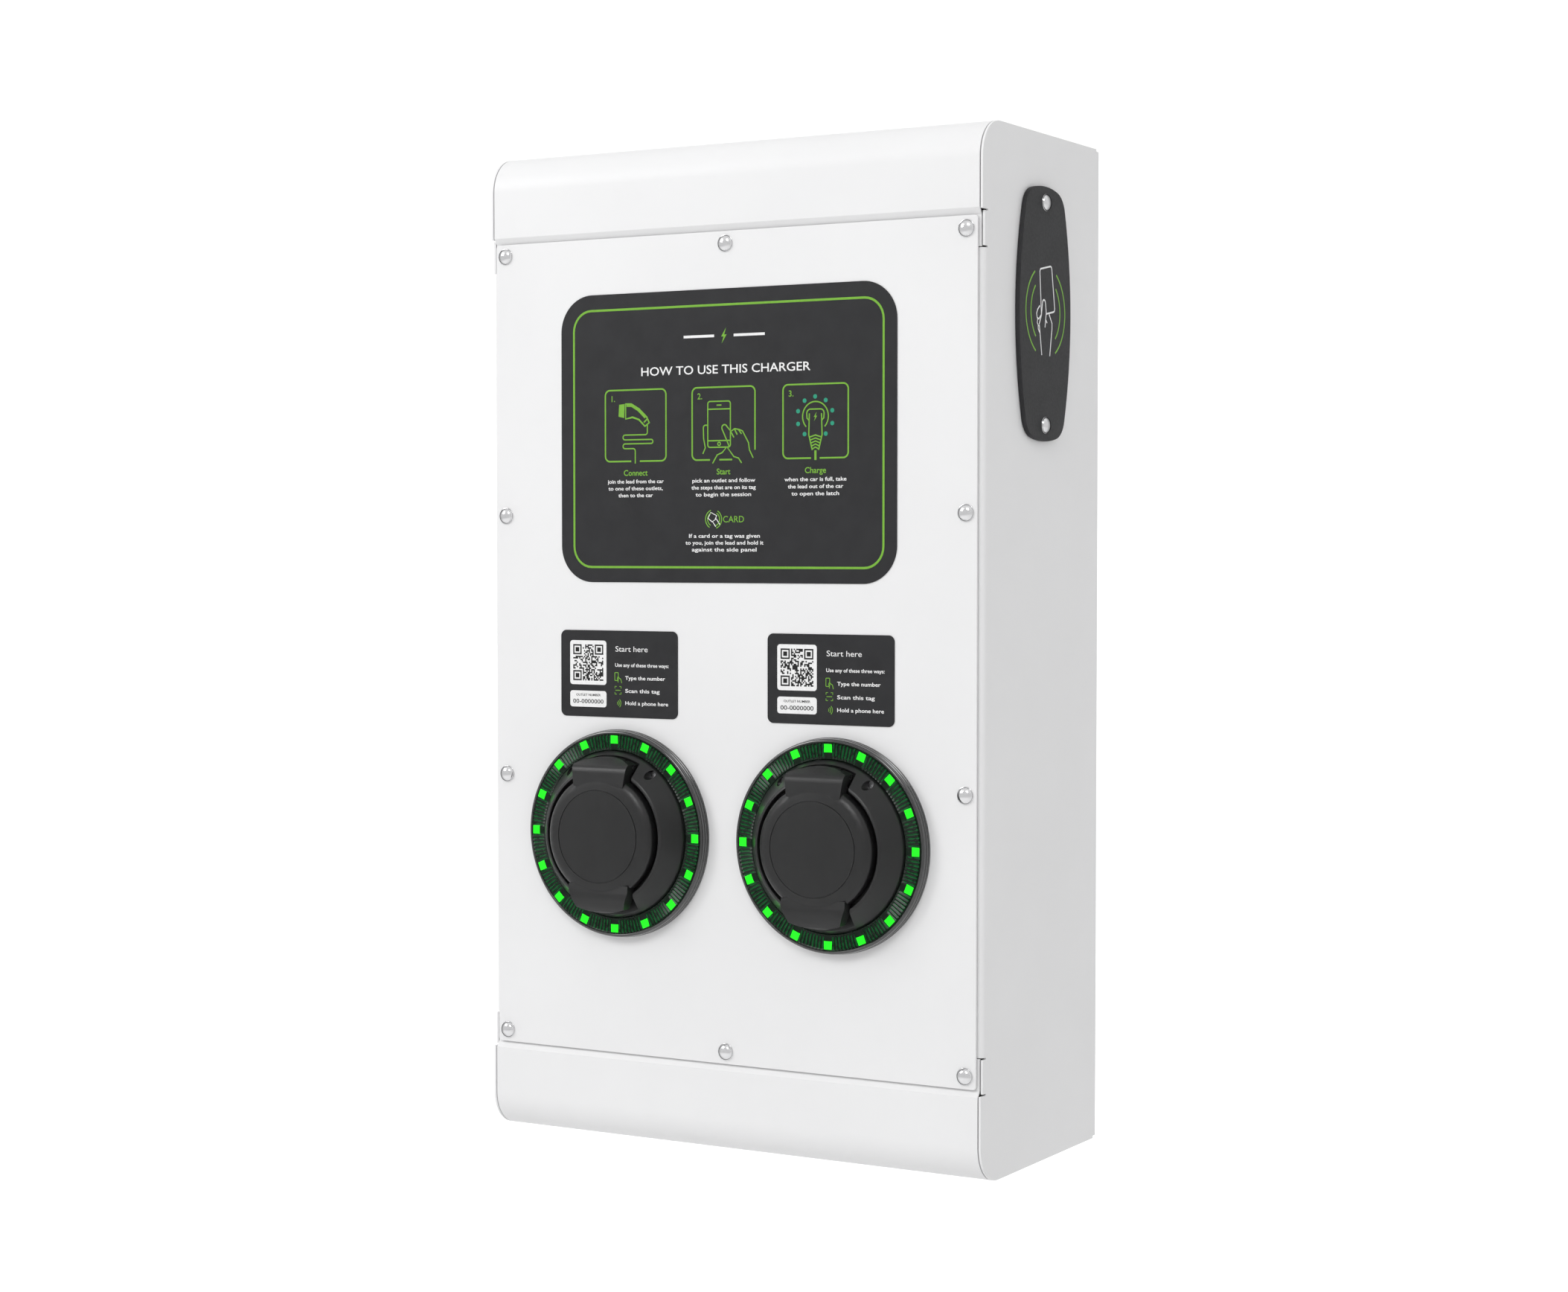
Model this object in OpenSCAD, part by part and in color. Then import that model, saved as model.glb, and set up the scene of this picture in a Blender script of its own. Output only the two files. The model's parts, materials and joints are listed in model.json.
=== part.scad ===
// Wall-mounted charging unit with two socket-outlets, a folded sheet-metal box and a card reader.
// The origin is the centre of the wall face: X to the right, Y into the wall, Z up, the front at -Y.
// Socket pieces are drawn in their own frame: x right, y up, z out of the front panel's face.

/* [Housing] */
// Width over the side plates
body_w = 350; // [340:1:430]
// Height over the caps
body_h = 625; // [615:1:760]
// Depth from the wall to the front band
body_d = 165; // [150:1:210]
// Thickness of the folded sheet
sheet_t = 1.5; // [1:0.1:2]
// Outer radius of the curve at the top and bottom of the front
edge_r = 23; // [12:1:30]
// Height of the front band of each cap, curve included
band_h = 52.5; // [45:0.5:60]
// Height over which the band steps back behind the panel
joggle_h = 4; // [3:0.5:6]
// Height of the cap's flange behind the panel
cap_flange_h = 18.5; // [17:0.5:24]
// Width of the side plate's folded flange
side_flange_w = 20; // [18:0.5:24]
// Outer radius of the fold on the side plate
fold_r = 3; // [2.5:0.5:4]
// Gap between a cap's end and the side plate
cap_seam = 0.7; // [0.4:0.1:1]
// Distance that each cap stops short of the wall
cap_rear_gap = 3.5; // [2:0.5:5]
// Height of the relief notches at the ends of the folds
notch_h = 1; // [0.6:0.1:1.5]
// Height by which the side plate's full-depth edge starts below the band
side_step = 1.2; // [0.5:0.1:2]

/* [Front panel] */
// Thickness of the panel
panel_t = 1.5; // [1:0.1:2.5]
// Distance that the panel's face lies behind the band
panel_set = 0.5; // [0:0.1:1]
// Gap between the panel's side edge and the side plate's face
panel_side_gap = 3.6; // [3:0.1:6]
// Gap between the panel's end and the band's step
panel_end_gap = 0.3; // [0.2:0.1:1]
// Thickness of the panel gasket
gasket_t = 0.8; // [0.5:0.1:1.5]
// Inset of the screws from the panel's side edges
screw_inset_x = 7.2; // [6:0.1:10]
// Inset of the screws from the panel's ends
screw_inset_z = 7.5; // [6.5:0.1:10]

/* [Fasteners] */
// Thread diameter of the panel screws
screw_d = 6; // [5:0.5:6]
// Head diameter of the panel screws
head_d = 10.5; // [9:0.1:12]
// Head height of the panel screws
head_h = 3.3; // [2.5:0.1:4]
// Length of the panel screws under the head
screw_len = 14; // [10:1:20]

/* [Labels] */
// Width of the instruction label
label_w = 240; // [180:1:260]
// Height of the instruction label
label_h = 180; // [140:1:190]
// Corner radius of the instruction label
label_r = 23; // [5:1:30]
// Height of the instruction label's centre
label_z = 130.8; // [120:0.1:140]
// Sideways place of the instruction label's centre
label_x = -1; // [-5:0.1:5]
// Width of an information tag
tag_w = 87.4; // [60:0.1:95]
// Height of an information tag
tag_h = 54.5; // [40:0.1:56]
// Corner radius of an information tag
tag_r = 4; // [2:0.5:8]
// Height of the tags' centres
tag_z = -16.8; // [-20:0.1:-10]
// Distance between the tags' centres
tag_pitch = 151.9; // [140:0.1:160]
// Sideways place of the middle of the pair of tags
tag_x = -2.15; // [-5:0.05:5]
// Thickness of the labels
label_t = 0.5; // [0.2:0.1:1]

/* [Sockets] */
// Distance between the socket centres
socket_pitch = 153.2; // [145:0.1:160]
// Height of the socket centres
socket_z = -116.8; // [-130:0.1:-110]
// Sideways place of the middle of the pair of sockets
socket_x = -0.65; // [-5:0.05:5]
// Outer radius of the light ring
bezel_r = 65.4; // [64:0.1:68]
// Height of the light ring over the panel
bezel_h = 7; // [6:0.1:9]
// Wall of the light ring's rim
bezel_wall = 2.6; // [2:0.1:3]
// Radius of the cowl's foot
cowl_r = 52.3; // [51:0.1:53]
// Height of the cowl's rim over the panel
cowl_h = 20.9; // [20:0.1:22]
// Radius of the lid
lid_r = 38.3; // [36:0.1:38.5]
// Height of the lid's face over the panel
lid_h = 26.6; // [26:0.1:28]
// Gap round the lid
lid_gap = 2.6; // [1.5:0.1:2.8]
// Radius to the tip of the lid's hinge tab
tab_tip_r = 49.1; // [48:0.1:49.5]
// Radius to the tip of the lid's finger tab
finger_tip_r = 48.2; // [46:0.1:49]
// Width of a square light
led_size = 5.4; // [4:0.1:6]
// Radius of the circle of lights
led_circle_r = 59.3; // [58.5:0.1:59.6]
// Number of lights in a ring
led_count = 16; // [8:1:24]

/* [Socket-outlet] */
// Radius of the well that takes the plug
well_r = 28.6; // [28:0.1:29]
// Height of the well's flat top over its centre
well_flat = 24.9; // [24:0.1:25.5]
// Radius of the contact block
block_r = 22.5; // [21:0.1:23]
// Height of the contact block's flat top over its centre
block_flat = 18.8; // [18:0.1:19.5]
// Depth of the well behind the panel's face
well_depth = 26; // [22:0.5:32]
// Travel of the lock pin
lock_travel = 7; // [5:0.5:7.5]
// Diameter of the lock pin
lock_d = 6; // [5:0.1:7]

/* [Card reader] */
// Greatest width of the reader plate
reader_w = 73.3; // [60:0.1:90]
// Height of the reader plate
reader_h = 153.4; // [140:0.1:170]
// Thickness of the reader plate
reader_t = 3; // [2:0.1:5]
// Height of the reader plate's centre
reader_z = 203.4; // [190:0.1:215]
// Distance of the reader plate's centre from the wall
reader_y = 85; // [70:1:100]
// Distance between the reader plate's screws
reader_screw_pitch = 134; // [120:1:140]

/* [Wall fixing and supply] */
// Distance between the wall bolts sideways
wall_bolt_x = 250; // [200:1:280]
// Distance between the wall bolts in height
wall_bolt_z = 500; // [400:1:520]
// Diameter of the wall bolt holes
wall_bolt_d = 9; // [7:0.5:11]
// Outside thread diameter of the cable gland
gland_d = 32; // [25:1:40]
// Bore of the cable gland
gland_bore_d = 20; // [12:1:22]
// Distance of the cable gland from the wall
gland_y = 45; // [40:1:60]

/* [Hidden] */
$fn = 96;
eps = 1;                 // how far a cutting tool runs past the face it cuts
fit = 0.05;              // radial clearance of a running fit
play = 0.3;              // gap between neighbours that only pass each other

// Housing
front_y = -body_d;
panel_face_y = front_y + panel_set;
panel_back_y = panel_face_y + panel_t;
flange_face_y = panel_back_y + gasket_t;
flange_back_y = flange_face_y + sheet_t;
half_w = body_w / 2;
half_h = body_h / 2;
band_low = half_h - band_h;
joggle_low = band_low - joggle_h;
cap_low = joggle_low - cap_flange_h;
step_z = band_low - side_step;
fold_end = cap_low - notch_h / 2;
panel_half_w = half_w - panel_side_gap;
panel_half_h = joggle_low - panel_end_gap;
screw_x = panel_half_w - screw_inset_x;
screw_z = panel_half_h - screw_inset_z;
screw_places = concat(
    [for (sx = [-1, 1], sz = [-1, -1 / 3, 1 / 3, 1]) [sx * screw_x, sz * screw_z]],
    [[0, screw_z], [0, -screw_z]]
);
rivet_r = screw_d / 2 + 1.5;
rivet_lip_r = rivet_r + 1.5;
rivet_len = 9;
gasket_margin = 2;
gasket_side_w = 12.5;
gasket_end_w = 13.5;

// Back plate
back_fold_w = 25;
back_half_h = half_h - sheet_t;
back_half_w = half_w - sheet_t;
standoff_len = 18.5;
standoff_r = 5;
standoff_hole_r = 2.1;
standoff_x = 135;
standoff_z = 200;

// Socket
bore_r = 30.8;           // bore of the cowl, which the insert fills
lid_floor = 15;          // height of the floor under the lid
recess_r = lid_r + lid_gap;
hinge_y = 43;
hinge_z = 15;
pin_r = 1.5;
pin_len = 37;
tongue_w = 12;
tongue_r = 2.6;
spring_side_x = 14;
tab_half_w = 20.2;
tab_root_half_w = 18.3;
tab_root_y = 31;
pocket_half_w = tab_half_w + 1.3;
pocket_low = 7.8;
pocket_inner_y = 37.3;
knuckle_r = 3.2;
finger_floor = 11;
lid_under = 17.2;
lid_shell = 4;
seal_r = 33.8;
seal_w = 3.4;
cowl_hole_r = 46;        // hole in the panel behind the cowl
lens_top = bezel_h + 0.2;
lens_skin = 1;
lens_in_r = cowl_r + play;
lens_out_r = bezel_r - bezel_wall - 0.1;
board_low = 1.2;
board_t = 1.6;
cowl_screw_x = 30;
cowl_screw_y = 38.5;
cowl_screw_hole_r = 2.7;
lock_z = -16;            // height of the lock pin's axis, behind the panel
lock_tip_y = block_flat + 0.7 + lock_travel;   // the tip when drawn back
lock_pin_len = 24;
signal_contacts = [[-8.5, 10], [8.5, 10]];
power_contacts = [[-13, -1.5], [0, -1.5], [13, -1.5], [-7.6, -13], [7.6, -13]];
insert_floor_t = 4;
block_top = 4;           // height of the contact block over the panel's face
power_hole_r = 4.4;
signal_hole_r = 2.9;

// Gear inside
plate_y = -sheet_t - standoff_len;      // rear face of the gear plate
gear_face_y = plate_y - sheet_t;
gear_half_w = 150;
gear_half_h = 215;
rail_z = 140;
rail_len = 290;
rail_h = 35;
rail_d = 7.5;
device_h = 85;
device_y = gear_face_y - rail_d - play;
module_w = 17.8;
device_count = 6;        // meter, contactor, breaker, breaker, contactor, meter
device_pitch = 2 * module_w + 4;
toggle_r = 6;
toggle_w = 14;
test_r = 3;
test_travel = 1.5;
test_dx = -11;
test_dz = -13;
toggle_dz = 6;
terminal_top = 65;

// ---------------------------------------------------------------- helpers

// Lays a drawing of the Y-Z plane flat and gives it a width along X, centred
module along_x(w) {
    translate([-w / 2, 0, 0]) rotate([90, 0, 90]) linear_extrude(w) children();
}

// A box between two corners
module box(low, high) {
    translate(low) cube(high - low);
}

// A rectangle with round corners, centred
module round_rect(w, h, r) {
    square([w - 2 * r, h], center = true);
    square([w, h - 2 * r], center = true);
    for (sx = [-1, 1], sy = [-1, 1])
        translate([sx * (w / 2 - r), sy * (h / 2 - r)]) circle(r);
}

// Turns z into the outward direction of the front, at a place on the plane y
module facing_front(x, y, z) {
    translate([x, y, z]) rotate([90, 0, 0]) children();
}

module at_socket(side) {
    facing_front(socket_x + side * socket_pitch / 2, panel_face_y, socket_z) children();
}

// A ring between two radii and two heights
module ring(r_in, r_out, low, high) {
    translate([0, 0, low]) difference() {
        cylinder(r = r_out, h = high - low);
        translate([0, 0, -eps]) cylinder(r = r_in, h = high - low + 2 * eps);
    }
}

module rod(r, low, high) {
    translate([0, 0, low]) cylinder(r = r, h = high - low);
}

// A rod along x, at a place of the socket's frame
module rod_x(r, x_low, x_high, y, z) {
    translate([x_low, y, z]) rotate([0, 90, 0]) cylinder(r = r, h = x_high - x_low);
}

function unit(v) = v / norm(v);
function tangent(path, i) =
    unit(path[min(i + 1, len(path) - 1)] - path[max(i - 1, 0)]);

// A round wire of radius r along a path; up is never parallel to the path
module wire(path, r, up, sides = 8) {
    n = len(path);
    points = [
        for (i = [0:n - 1])
            let (t = tangent(path, i), a = unit(cross(t, up)), b = cross(a, t))
            for (k = [0:sides - 1])
                path[i] + r * (cos(360 * k / sides) * a + sin(360 * k / sides) * b)
    ];
    walls = [
        for (i = [0:n - 2], k = [0:sides - 1])
            let (k2 = (k + 1) % sides)
            [i * sides + k, i * sides + k2, (i + 1) * sides + k2, (i + 1) * sides + k]
    ];
    start = [for (k = [sides - 1:-1:0]) k];
    finish = [for (k = [0:sides - 1]) (n - 1) * sides + k];
    polyhedron(points, concat([start, finish], walls));
}

// ---------------------------------------------------------------- housing

// The space that the top cap wraps, in the Y-Z plane, with its skin taken off by inset
module cap_space(inset, run) {
    rear_y = -cap_rear_gap + run;
    corner_y = front_y + edge_r;
    corner_z = half_h - edge_r;
    translate([corner_y, corner_z]) circle(edge_r - inset);
    translate([front_y + inset, band_low - run])
        square([rear_y - front_y - inset, corner_z - band_low + run]);
    translate([corner_y, band_low - run]) square([rear_y - corner_y, half_h - inset - band_low + run]);
}

// The section of the top cap in the Y-Z plane
module cap_section() {
    difference() {
        cap_space(0, 0);
        cap_space(sheet_t, eps);
    }
    polygon([
        [front_y, band_low + play], [front_y, band_low], [flange_face_y, joggle_low],
        [flange_face_y, cap_low], [flange_back_y, cap_low], [flange_back_y, joggle_low],
        [front_y + sheet_t, band_low], [front_y + sheet_t, band_low + play]
    ]);
}

module cap_sheet() {
    difference() {
        along_x(body_w - 2 * sheet_t - 2 * cap_seam) cap_section();
        for (x = [-screw_x, 0, screw_x])
            facing_front(x, flange_back_y + eps, screw_z) cylinder(r = rivet_r, h = sheet_t + 2 * eps);
    }
}

module top_cap() {
    color("whitesmoke") cap_sheet();
}

module bottom_cap() {
    color("whitesmoke") difference() {
        mirror([0, 0, 1]) cap_sheet();
        translate([0, -gland_y, -half_h - eps]) cylinder(d = gland_d + 4 * fit, h = sheet_t + 2 * eps);
    }
}

// The flat outline of a side plate in the Y-Z plane
module side_outline() {
    corner_y = front_y + edge_r;
    difference() {
        union() {
            translate([corner_y, -half_h]) square([-corner_y, body_h]);
            translate([front_y, -half_h + edge_r]) square([edge_r, body_h - 2 * edge_r]);
            for (s = [-1, 1])
                translate([corner_y, s * (half_h - edge_r)]) circle(edge_r);
        }
        // the edge is set back behind the panel, and further where it is folded
        translate([front_y - eps, -step_z]) square([flange_face_y - front_y + eps, 2 * step_z]);
        translate([front_y, -cap_low]) square([flange_face_y - front_y + fold_r, 2 * cap_low]);
        // relief notches at the ends of the set-back edge and of the fold
        for (s = [-1, 1], z = [step_z, cap_low])
            translate([front_y, s * z - notch_h / 2])
                square([flange_face_y - front_y + fold_r + notch_h, notch_h]);
        // the rear corners stop at the caps' ends
        for (s = [-1, 1])
            translate([-cap_rear_gap, s * (half_h - sheet_t / 2) - sheet_t / 2])
                square([cap_rear_gap + eps, sheet_t + (s > 0 ? eps : 0)]);
    }
}

// The folded front flange of the right side plate, in the X-Y plane
module fold_section() {
    fold_x = half_w - fold_r;
    fold_y = flange_face_y + fold_r;
    translate([fold_x, fold_y]) intersection() {
        difference() {
            circle(fold_r);
            circle(fold_r - sheet_t);
        }
        translate([0, -fold_r]) square(fold_r);
    }
    translate([half_w - side_flange_w, flange_face_y]) square([side_flange_w - fold_r, sheet_t]);
}

module side_sheet() {
    translate([half_w - sheet_t / 2, 0, 0]) along_x(sheet_t) side_outline();
    difference() {
        translate([0, 0, -fold_end]) linear_extrude(2 * fold_end) fold_section();
        for (s = [-1, 1])
            facing_front(screw_x, flange_back_y + eps, s * screw_z / 3)
                cylinder(r = rivet_r, h = sheet_t + 2 * eps);
    }
}

module side_plate_left() {
    color("gainsboro") mirror([1, 0, 0]) side_sheet();
}

module side_plate_right() {
    color("gainsboro") difference() {
        side_sheet();
        // window for the reader's aerial, and the two screw holes
        box([half_w - sheet_t - eps, -reader_y - 18, reader_z - 30],
            [half_w + eps, -reader_y + 18, reader_z + 30]);
        at_reader_screws() translate([0, 0, -sheet_t - eps])
            cylinder(d = screw_d + 2 * fit, h = sheet_t + 2 * eps);
    }
}

// The wall plate: a tray with its folds towards the front
module back_plate() {
    color("silver") difference() {
        union() {
            box([-back_half_w, -sheet_t, -back_half_h], [back_half_w, 0, back_half_h]);
            for (s = [-1, 1]) {
                translate([s * (back_half_w - sheet_t / 2), 0, 0])
                    box([-sheet_t / 2, -back_fold_w, -back_half_h + edge_r],
                        [sheet_t / 2, -sheet_t, back_half_h - edge_r]);
                translate([0, 0, s * (back_half_h - sheet_t / 2)])
                    box([-back_half_w + edge_r, -back_fold_w, -sheet_t / 2],
                        [back_half_w - edge_r, -sheet_t, sheet_t / 2]);
            }
        }
        for (sx = [-1, 1], sz = [-1, 1])
            facing_front(sx * wall_bolt_x / 2, eps, sz * wall_bolt_z / 2)
                cylinder(d = wall_bolt_d, h = sheet_t + 2 * eps);
    }
}

module front_panel() {
    color("white") difference() {
        facing_front(0, panel_back_y, 0)
            linear_extrude(panel_t) round_rect(2 * panel_half_w, 2 * panel_half_h, 2);
        for (p = screw_places)
            facing_front(p[0], panel_back_y + eps, p[1]) cylinder(d = screw_d + 0.6, h = panel_t + 2 * eps);
        for (side = [-1, 1])
            at_socket(side) {
                rod(cowl_hole_r, -panel_t - eps, eps);
                at_cowl_screws() rod(1.7, -panel_t - eps, eps);
            }
    }
}

module panel_gasket() {
    w = 2 * (panel_half_w - gasket_margin);
    h = 2 * (panel_half_h - gasket_margin);
    color("dimgray") facing_front(0, flange_face_y, 0) difference() {
        linear_extrude(gasket_t) difference() {
            square([w, h], center = true);
            square([w - 2 * gasket_side_w, h - 2 * gasket_end_w], center = true);
        }
        for (p = screw_places)
            translate([p[0], p[1], -eps]) cylinder(d = screw_d + 0.6, h = gasket_t + 2 * eps);
    }
}

// A button-head screw with a pinned hexagon recess; its head stands on z = 0
module button_screw(length) {
    rim = 0.6;
    dome = head_h - rim;
    dome_r = (pow(head_d / 2, 2) + dome * dome) / (2 * dome);
    difference() {
        union() {
            cylinder(d = head_d, h = rim);
            intersection() {
                translate([0, 0, head_h - dome_r]) sphere(dome_r);
                rod(head_d / 2, rim, head_h + eps);
            }
            rod(screw_d / 2, -length, 0);
        }
        translate([0, 0, head_h - 1.7]) difference() {
            cylinder(r = 2.2, h = 2, $fn = 6);
            cylinder(r = 0.7, h = 1.2);
        }
    }
}

module panel_screws() {
    color("silver") for (p = screw_places)
        facing_front(p[0], panel_face_y, p[1]) button_screw(screw_len);
}

module panel_rivet_nuts() {
    color("lightsteelblue") for (p = screw_places)
        facing_front(p[0], flange_face_y, p[1]) difference() {
            union() {
                rod(rivet_r, -rivet_len, 0);
                rod(rivet_lip_r, -sheet_t - 2, -sheet_t);
            }
            rod(screw_d / 2 + fit, -rivet_len - eps, eps);
        }
}

// ---------------------------------------------------------------- labels

module label(w, h, r) {
    linear_extrude(label_t) round_rect(w, h, r);
}

module instruction_label() {
    color("dimgray") facing_front(label_x, panel_face_y, label_z) label(label_w, label_h, label_r);
}

module info_tag(side) {
    color("dimgray") facing_front(tag_x + side * tag_pitch / 2, panel_face_y, tag_z) label(tag_w, tag_h, tag_r);
}

// ---------------------------------------------------------------- card reader

// Places z outwards from the right side plate, x towards the front and y up
module on_right_side(y, z) {
    translate([half_w, -y, z]) rotate([90, 0, 90]) children();
}

module at_reader_screws() {
    for (s = [-1, 1])
        on_right_side(reader_y, reader_z + s * reader_screw_pitch / 2) children();
}

// Points of an arc from angle a to angle b
function arc(centre, r, a, b, steps) =
    [for (i = [0:steps]) let (t = a + (b - a) * i / steps) centre + r * [cos(t), sin(t)]];

// A barrel outline: bowed sides, arched ends and round corners
function barrel(w, h, side_r, end_r, corner_r) =
    let (
        side_c = w / 2 - side_r,             // centre of the right side's arc, on x
        end_c = h / 2 - end_r,               // centre of the top arc, on y
        ra = side_r - corner_r,
        rb = end_r - corner_r,
        apart = norm([side_c, end_c]),
        along = (ra * ra - rb * rb + apart * apart) / (2 * apart),
        aside = sqrt(ra * ra - along * along),
        dir = [-side_c, end_c] / apart,
        c = [side_c, 0] + along * dir + aside * [-dir[1], dir[0]],
        side_a = atan2(c[1], c[0] - side_c),
        end_a = atan2(c[1] - end_c, c[0]),
        quarter = concat(
            arc([side_c, 0], side_r, 0, side_a, 8),
            arc(c, corner_r, side_a, end_a, 8),
            arc([0, end_c], end_r, end_a, 90, 8)
        ),
        n = len(quarter)
    )
    concat(
        quarter,
        [for (i = [n - 2:-1:0]) [-quarter[i][0], quarter[i][1]]],
        [for (i = [1:n - 1]) [-quarter[i][0], -quarter[i][1]]],
        [for (i = [n - 2:-1:1]) [quarter[i][0], -quarter[i][1]]]
    );

module reader_plate() {
    color("dimgray") difference() {
        on_right_side(reader_y, reader_z)
            linear_extrude(reader_t) polygon(barrel(reader_w, reader_h, 240, 75, 15));
        at_reader_screws() translate([0, 0, -eps]) cylinder(d = screw_d + 2 * fit, h = reader_t + 2 * eps);
    }
}

module reader_screws() {
    color("silver") at_reader_screws() translate([0, 0, reader_t]) button_screw(screw_len);
}

module reader_board() {
    gap = 2;
    color("darkgreen") on_right_side(reader_y, reader_z) {
        translate([0, 0, -sheet_t - gap - 1.6]) linear_extrude(1.6) square([44, 90], center = true);
        translate([0, 0, -sheet_t - gap - 6.6]) linear_extrude(5) square([18, 24], center = true);
    }
}

// ---------------------------------------------------------------- light ring

module led_bezel() {
    rim_in = bezel_r - bezel_wall;
    groove = 0.45;
    color("black") rotate_extrude() polygon([
        [cowl_r + play, 0], [bezel_r, 0],
        [bezel_r, 1.4], [bezel_r - groove, 1.8], [bezel_r - groove, 2.2],
        [bezel_r - 0.2, 2.6], [bezel_r - 0.2, 3.6], [bezel_r - 0.2 - groove, 4],
        [bezel_r - 0.2 - groove, 4.4], [bezel_r - 0.6, 4.8], [bezel_r - 0.6, bezel_h - 1.2],
        [bezel_r - 1.4, bezel_h - 0.3], [bezel_r - 2, bezel_h],
        [rim_in, bezel_h], [rim_in, board_low], [cowl_r + play, board_low]
    ]);
}

module led_board() {
    color("darkgreen") ring(lens_in_r + 1.4, lens_out_r, board_low, board_low + board_t);
}

module leds() {
    low = board_low + board_t;
    color("lime") for (i = [0:led_count - 1])
        rotate(90 + i * 360 / led_count)
            translate([led_circle_r - led_size / 2, -led_size / 2, low])
                cube([led_size, led_size, lens_top - lens_skin - play - low]);
}

module led_lens() {
    color([0.05, 0.25, 0.1, 0.5]) {
        ring(lens_in_r, lens_out_r, lens_top - lens_skin, lens_top);
        ring(lens_in_r, lens_in_r + 1.2, board_low, lens_top - lens_skin);
    }
}

// ---------------------------------------------------------------- socket

module at_cowl_screws() {
    for (s = [-1, 1])
        translate([s * cowl_screw_x, cowl_screw_y, 0]) children();
}

// The tab's plan: a trapezoid that widens away from the lid and ends on a circle
module tab_plan(root_y, root_half, tip_half, tip_r) {
    tip_y = sqrt(tip_r * tip_r - tip_half * tip_half);
    intersection() {
        polygon([
            [-root_half, root_y], [root_half, root_y], [tip_half, tip_y],
            [tip_half, tip_r + eps], [-tip_half, tip_r + eps], [-tip_half, tip_y]
        ]);
        circle(tip_r);
    }
}

module cowl_body() {
    rotate_extrude() polygon([
        [bore_r, -6], [34, -6], [34, -panel_t - play], [34.5, 0], [34.5, 5.5], [44, 5.5], [44, 0],
        [cowl_r, 0], [cowl_r, 7.6], [cowl_r - 0.9, 9.2], [recess_r + 2.3, cowl_h - 1.1],
        [recess_r + 1.5, cowl_h - 0.3], [recess_r + 0.4, cowl_h], [recess_r, cowl_h - 0.4],
        [recess_r, lid_floor], [bore_r, lid_floor]
    ]);
}

module socket_cowl() {
    color("dimgray") difference() {
        union() {
            difference() {
                cowl_body();
                // pocket that the hinge tab swings into, wider open above the lid's floor
                for (p = [[pocket_low, pocket_inner_y], [lid_floor, tab_root_y + 2]])
                    translate([0, 0, p[0]]) linear_extrude(cowl_h) intersection() {
                        translate([-pocket_half_w, p[1]]) square([2 * pocket_half_w, tab_tip_r]);
                        circle(tab_tip_r + 0.8);
                    }
                // recess under the finger tab, open downwards
                translate([0, 0, finger_floor]) linear_extrude(cowl_h)
                    polygon([[-22.8, -33], [22.8, -33], [18.8, -cowl_r - eps], [-18.8, -cowl_r - eps]]);
            }
            // tongue that holds the hinge pin
            intersection() {
                union() {
                    rod_x(tongue_r, -tongue_w / 2, tongue_w / 2, hinge_y, hinge_z);
                    box([-tongue_w / 2, pocket_inner_y - 1, hinge_z - tongue_r],
                        [tongue_w / 2, hinge_y, hinge_z + 1.6]);
                }
                rod(tab_tip_r, 0, cowl_h);
            }
        }
        rod_x(pin_r, -tongue_w / 2 - eps, tongue_w / 2 + eps, hinge_y, hinge_z);
        at_cowl_screws() {
            rod(cowl_screw_hole_r, 4, cowl_h);
            rod(1.6, -eps, 4 + eps);
        }
    }
}

// A circle with a flat across its top
module flatted(r, flat) {
    intersection() {
        circle(r);
        translate([-r, -r]) square([2 * r, r + flat]);
    }
}

module contact_holes(low, high) {
    for (p = power_contacts)
        translate([p[0], p[1], 0]) rod(power_hole_r, low, high);
    for (p = signal_contacts)
        translate([p[0], p[1], 0]) rod(signal_hole_r, low, high);
}

// The cup that takes the plug's shroud; the contact block stands in its floor
module socket_insert() {
    floor_low = -well_depth - insert_floor_t;
    color("black") difference() {
        union() {
            rod(bore_r - fit, floor_low, lid_floor - 0.4);
            rod(36, -9, -6);
        }
        translate([0, 0, -well_depth]) linear_extrude(well_depth + lid_floor) flatted(well_r, well_flat);
        translate([0, 0, floor_low - eps]) linear_extrude(insert_floor_t + 2 * eps)
            flatted(block_r + fit, block_flat + fit);
        // way through for the lock pin
        translate([0, 0, lock_z]) rotate([-90, 0, 0])
            translate([0, 0, block_flat + eps]) cylinder(r = lock_d / 2 + fit, h = bore_r);
    }
}

module contact_block() {
    low = -well_depth - insert_floor_t;
    color("black") difference() {
        translate([0, 0, low]) linear_extrude(block_top - low) flatted(block_r, block_flat);
        contact_holes(low - eps, block_top + eps);
    }
}

// A tube that takes a plug's pin, with a tail for its wire
module contact_tube(r_out, r_in) {
    tail = 8;
    low = -well_depth - 6;
    difference() {
        rod(r_out, low, 0.5);
        rod(r_in, low + 4, 0.5 + eps);
    }
    rod(r_in * 0.7, low - tail, low);
}

module contact_tubes() {
    color("gold") {
        for (p = power_contacts)
            translate([p[0], p[1], 0]) contact_tube(power_hole_r - fit, 3.05);
        for (p = signal_contacts)
            translate([p[0], p[1], 0]) contact_tube(signal_hole_r - fit, 1.55);
    }
}

// ---------------------------------------------------------------- lid

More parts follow.
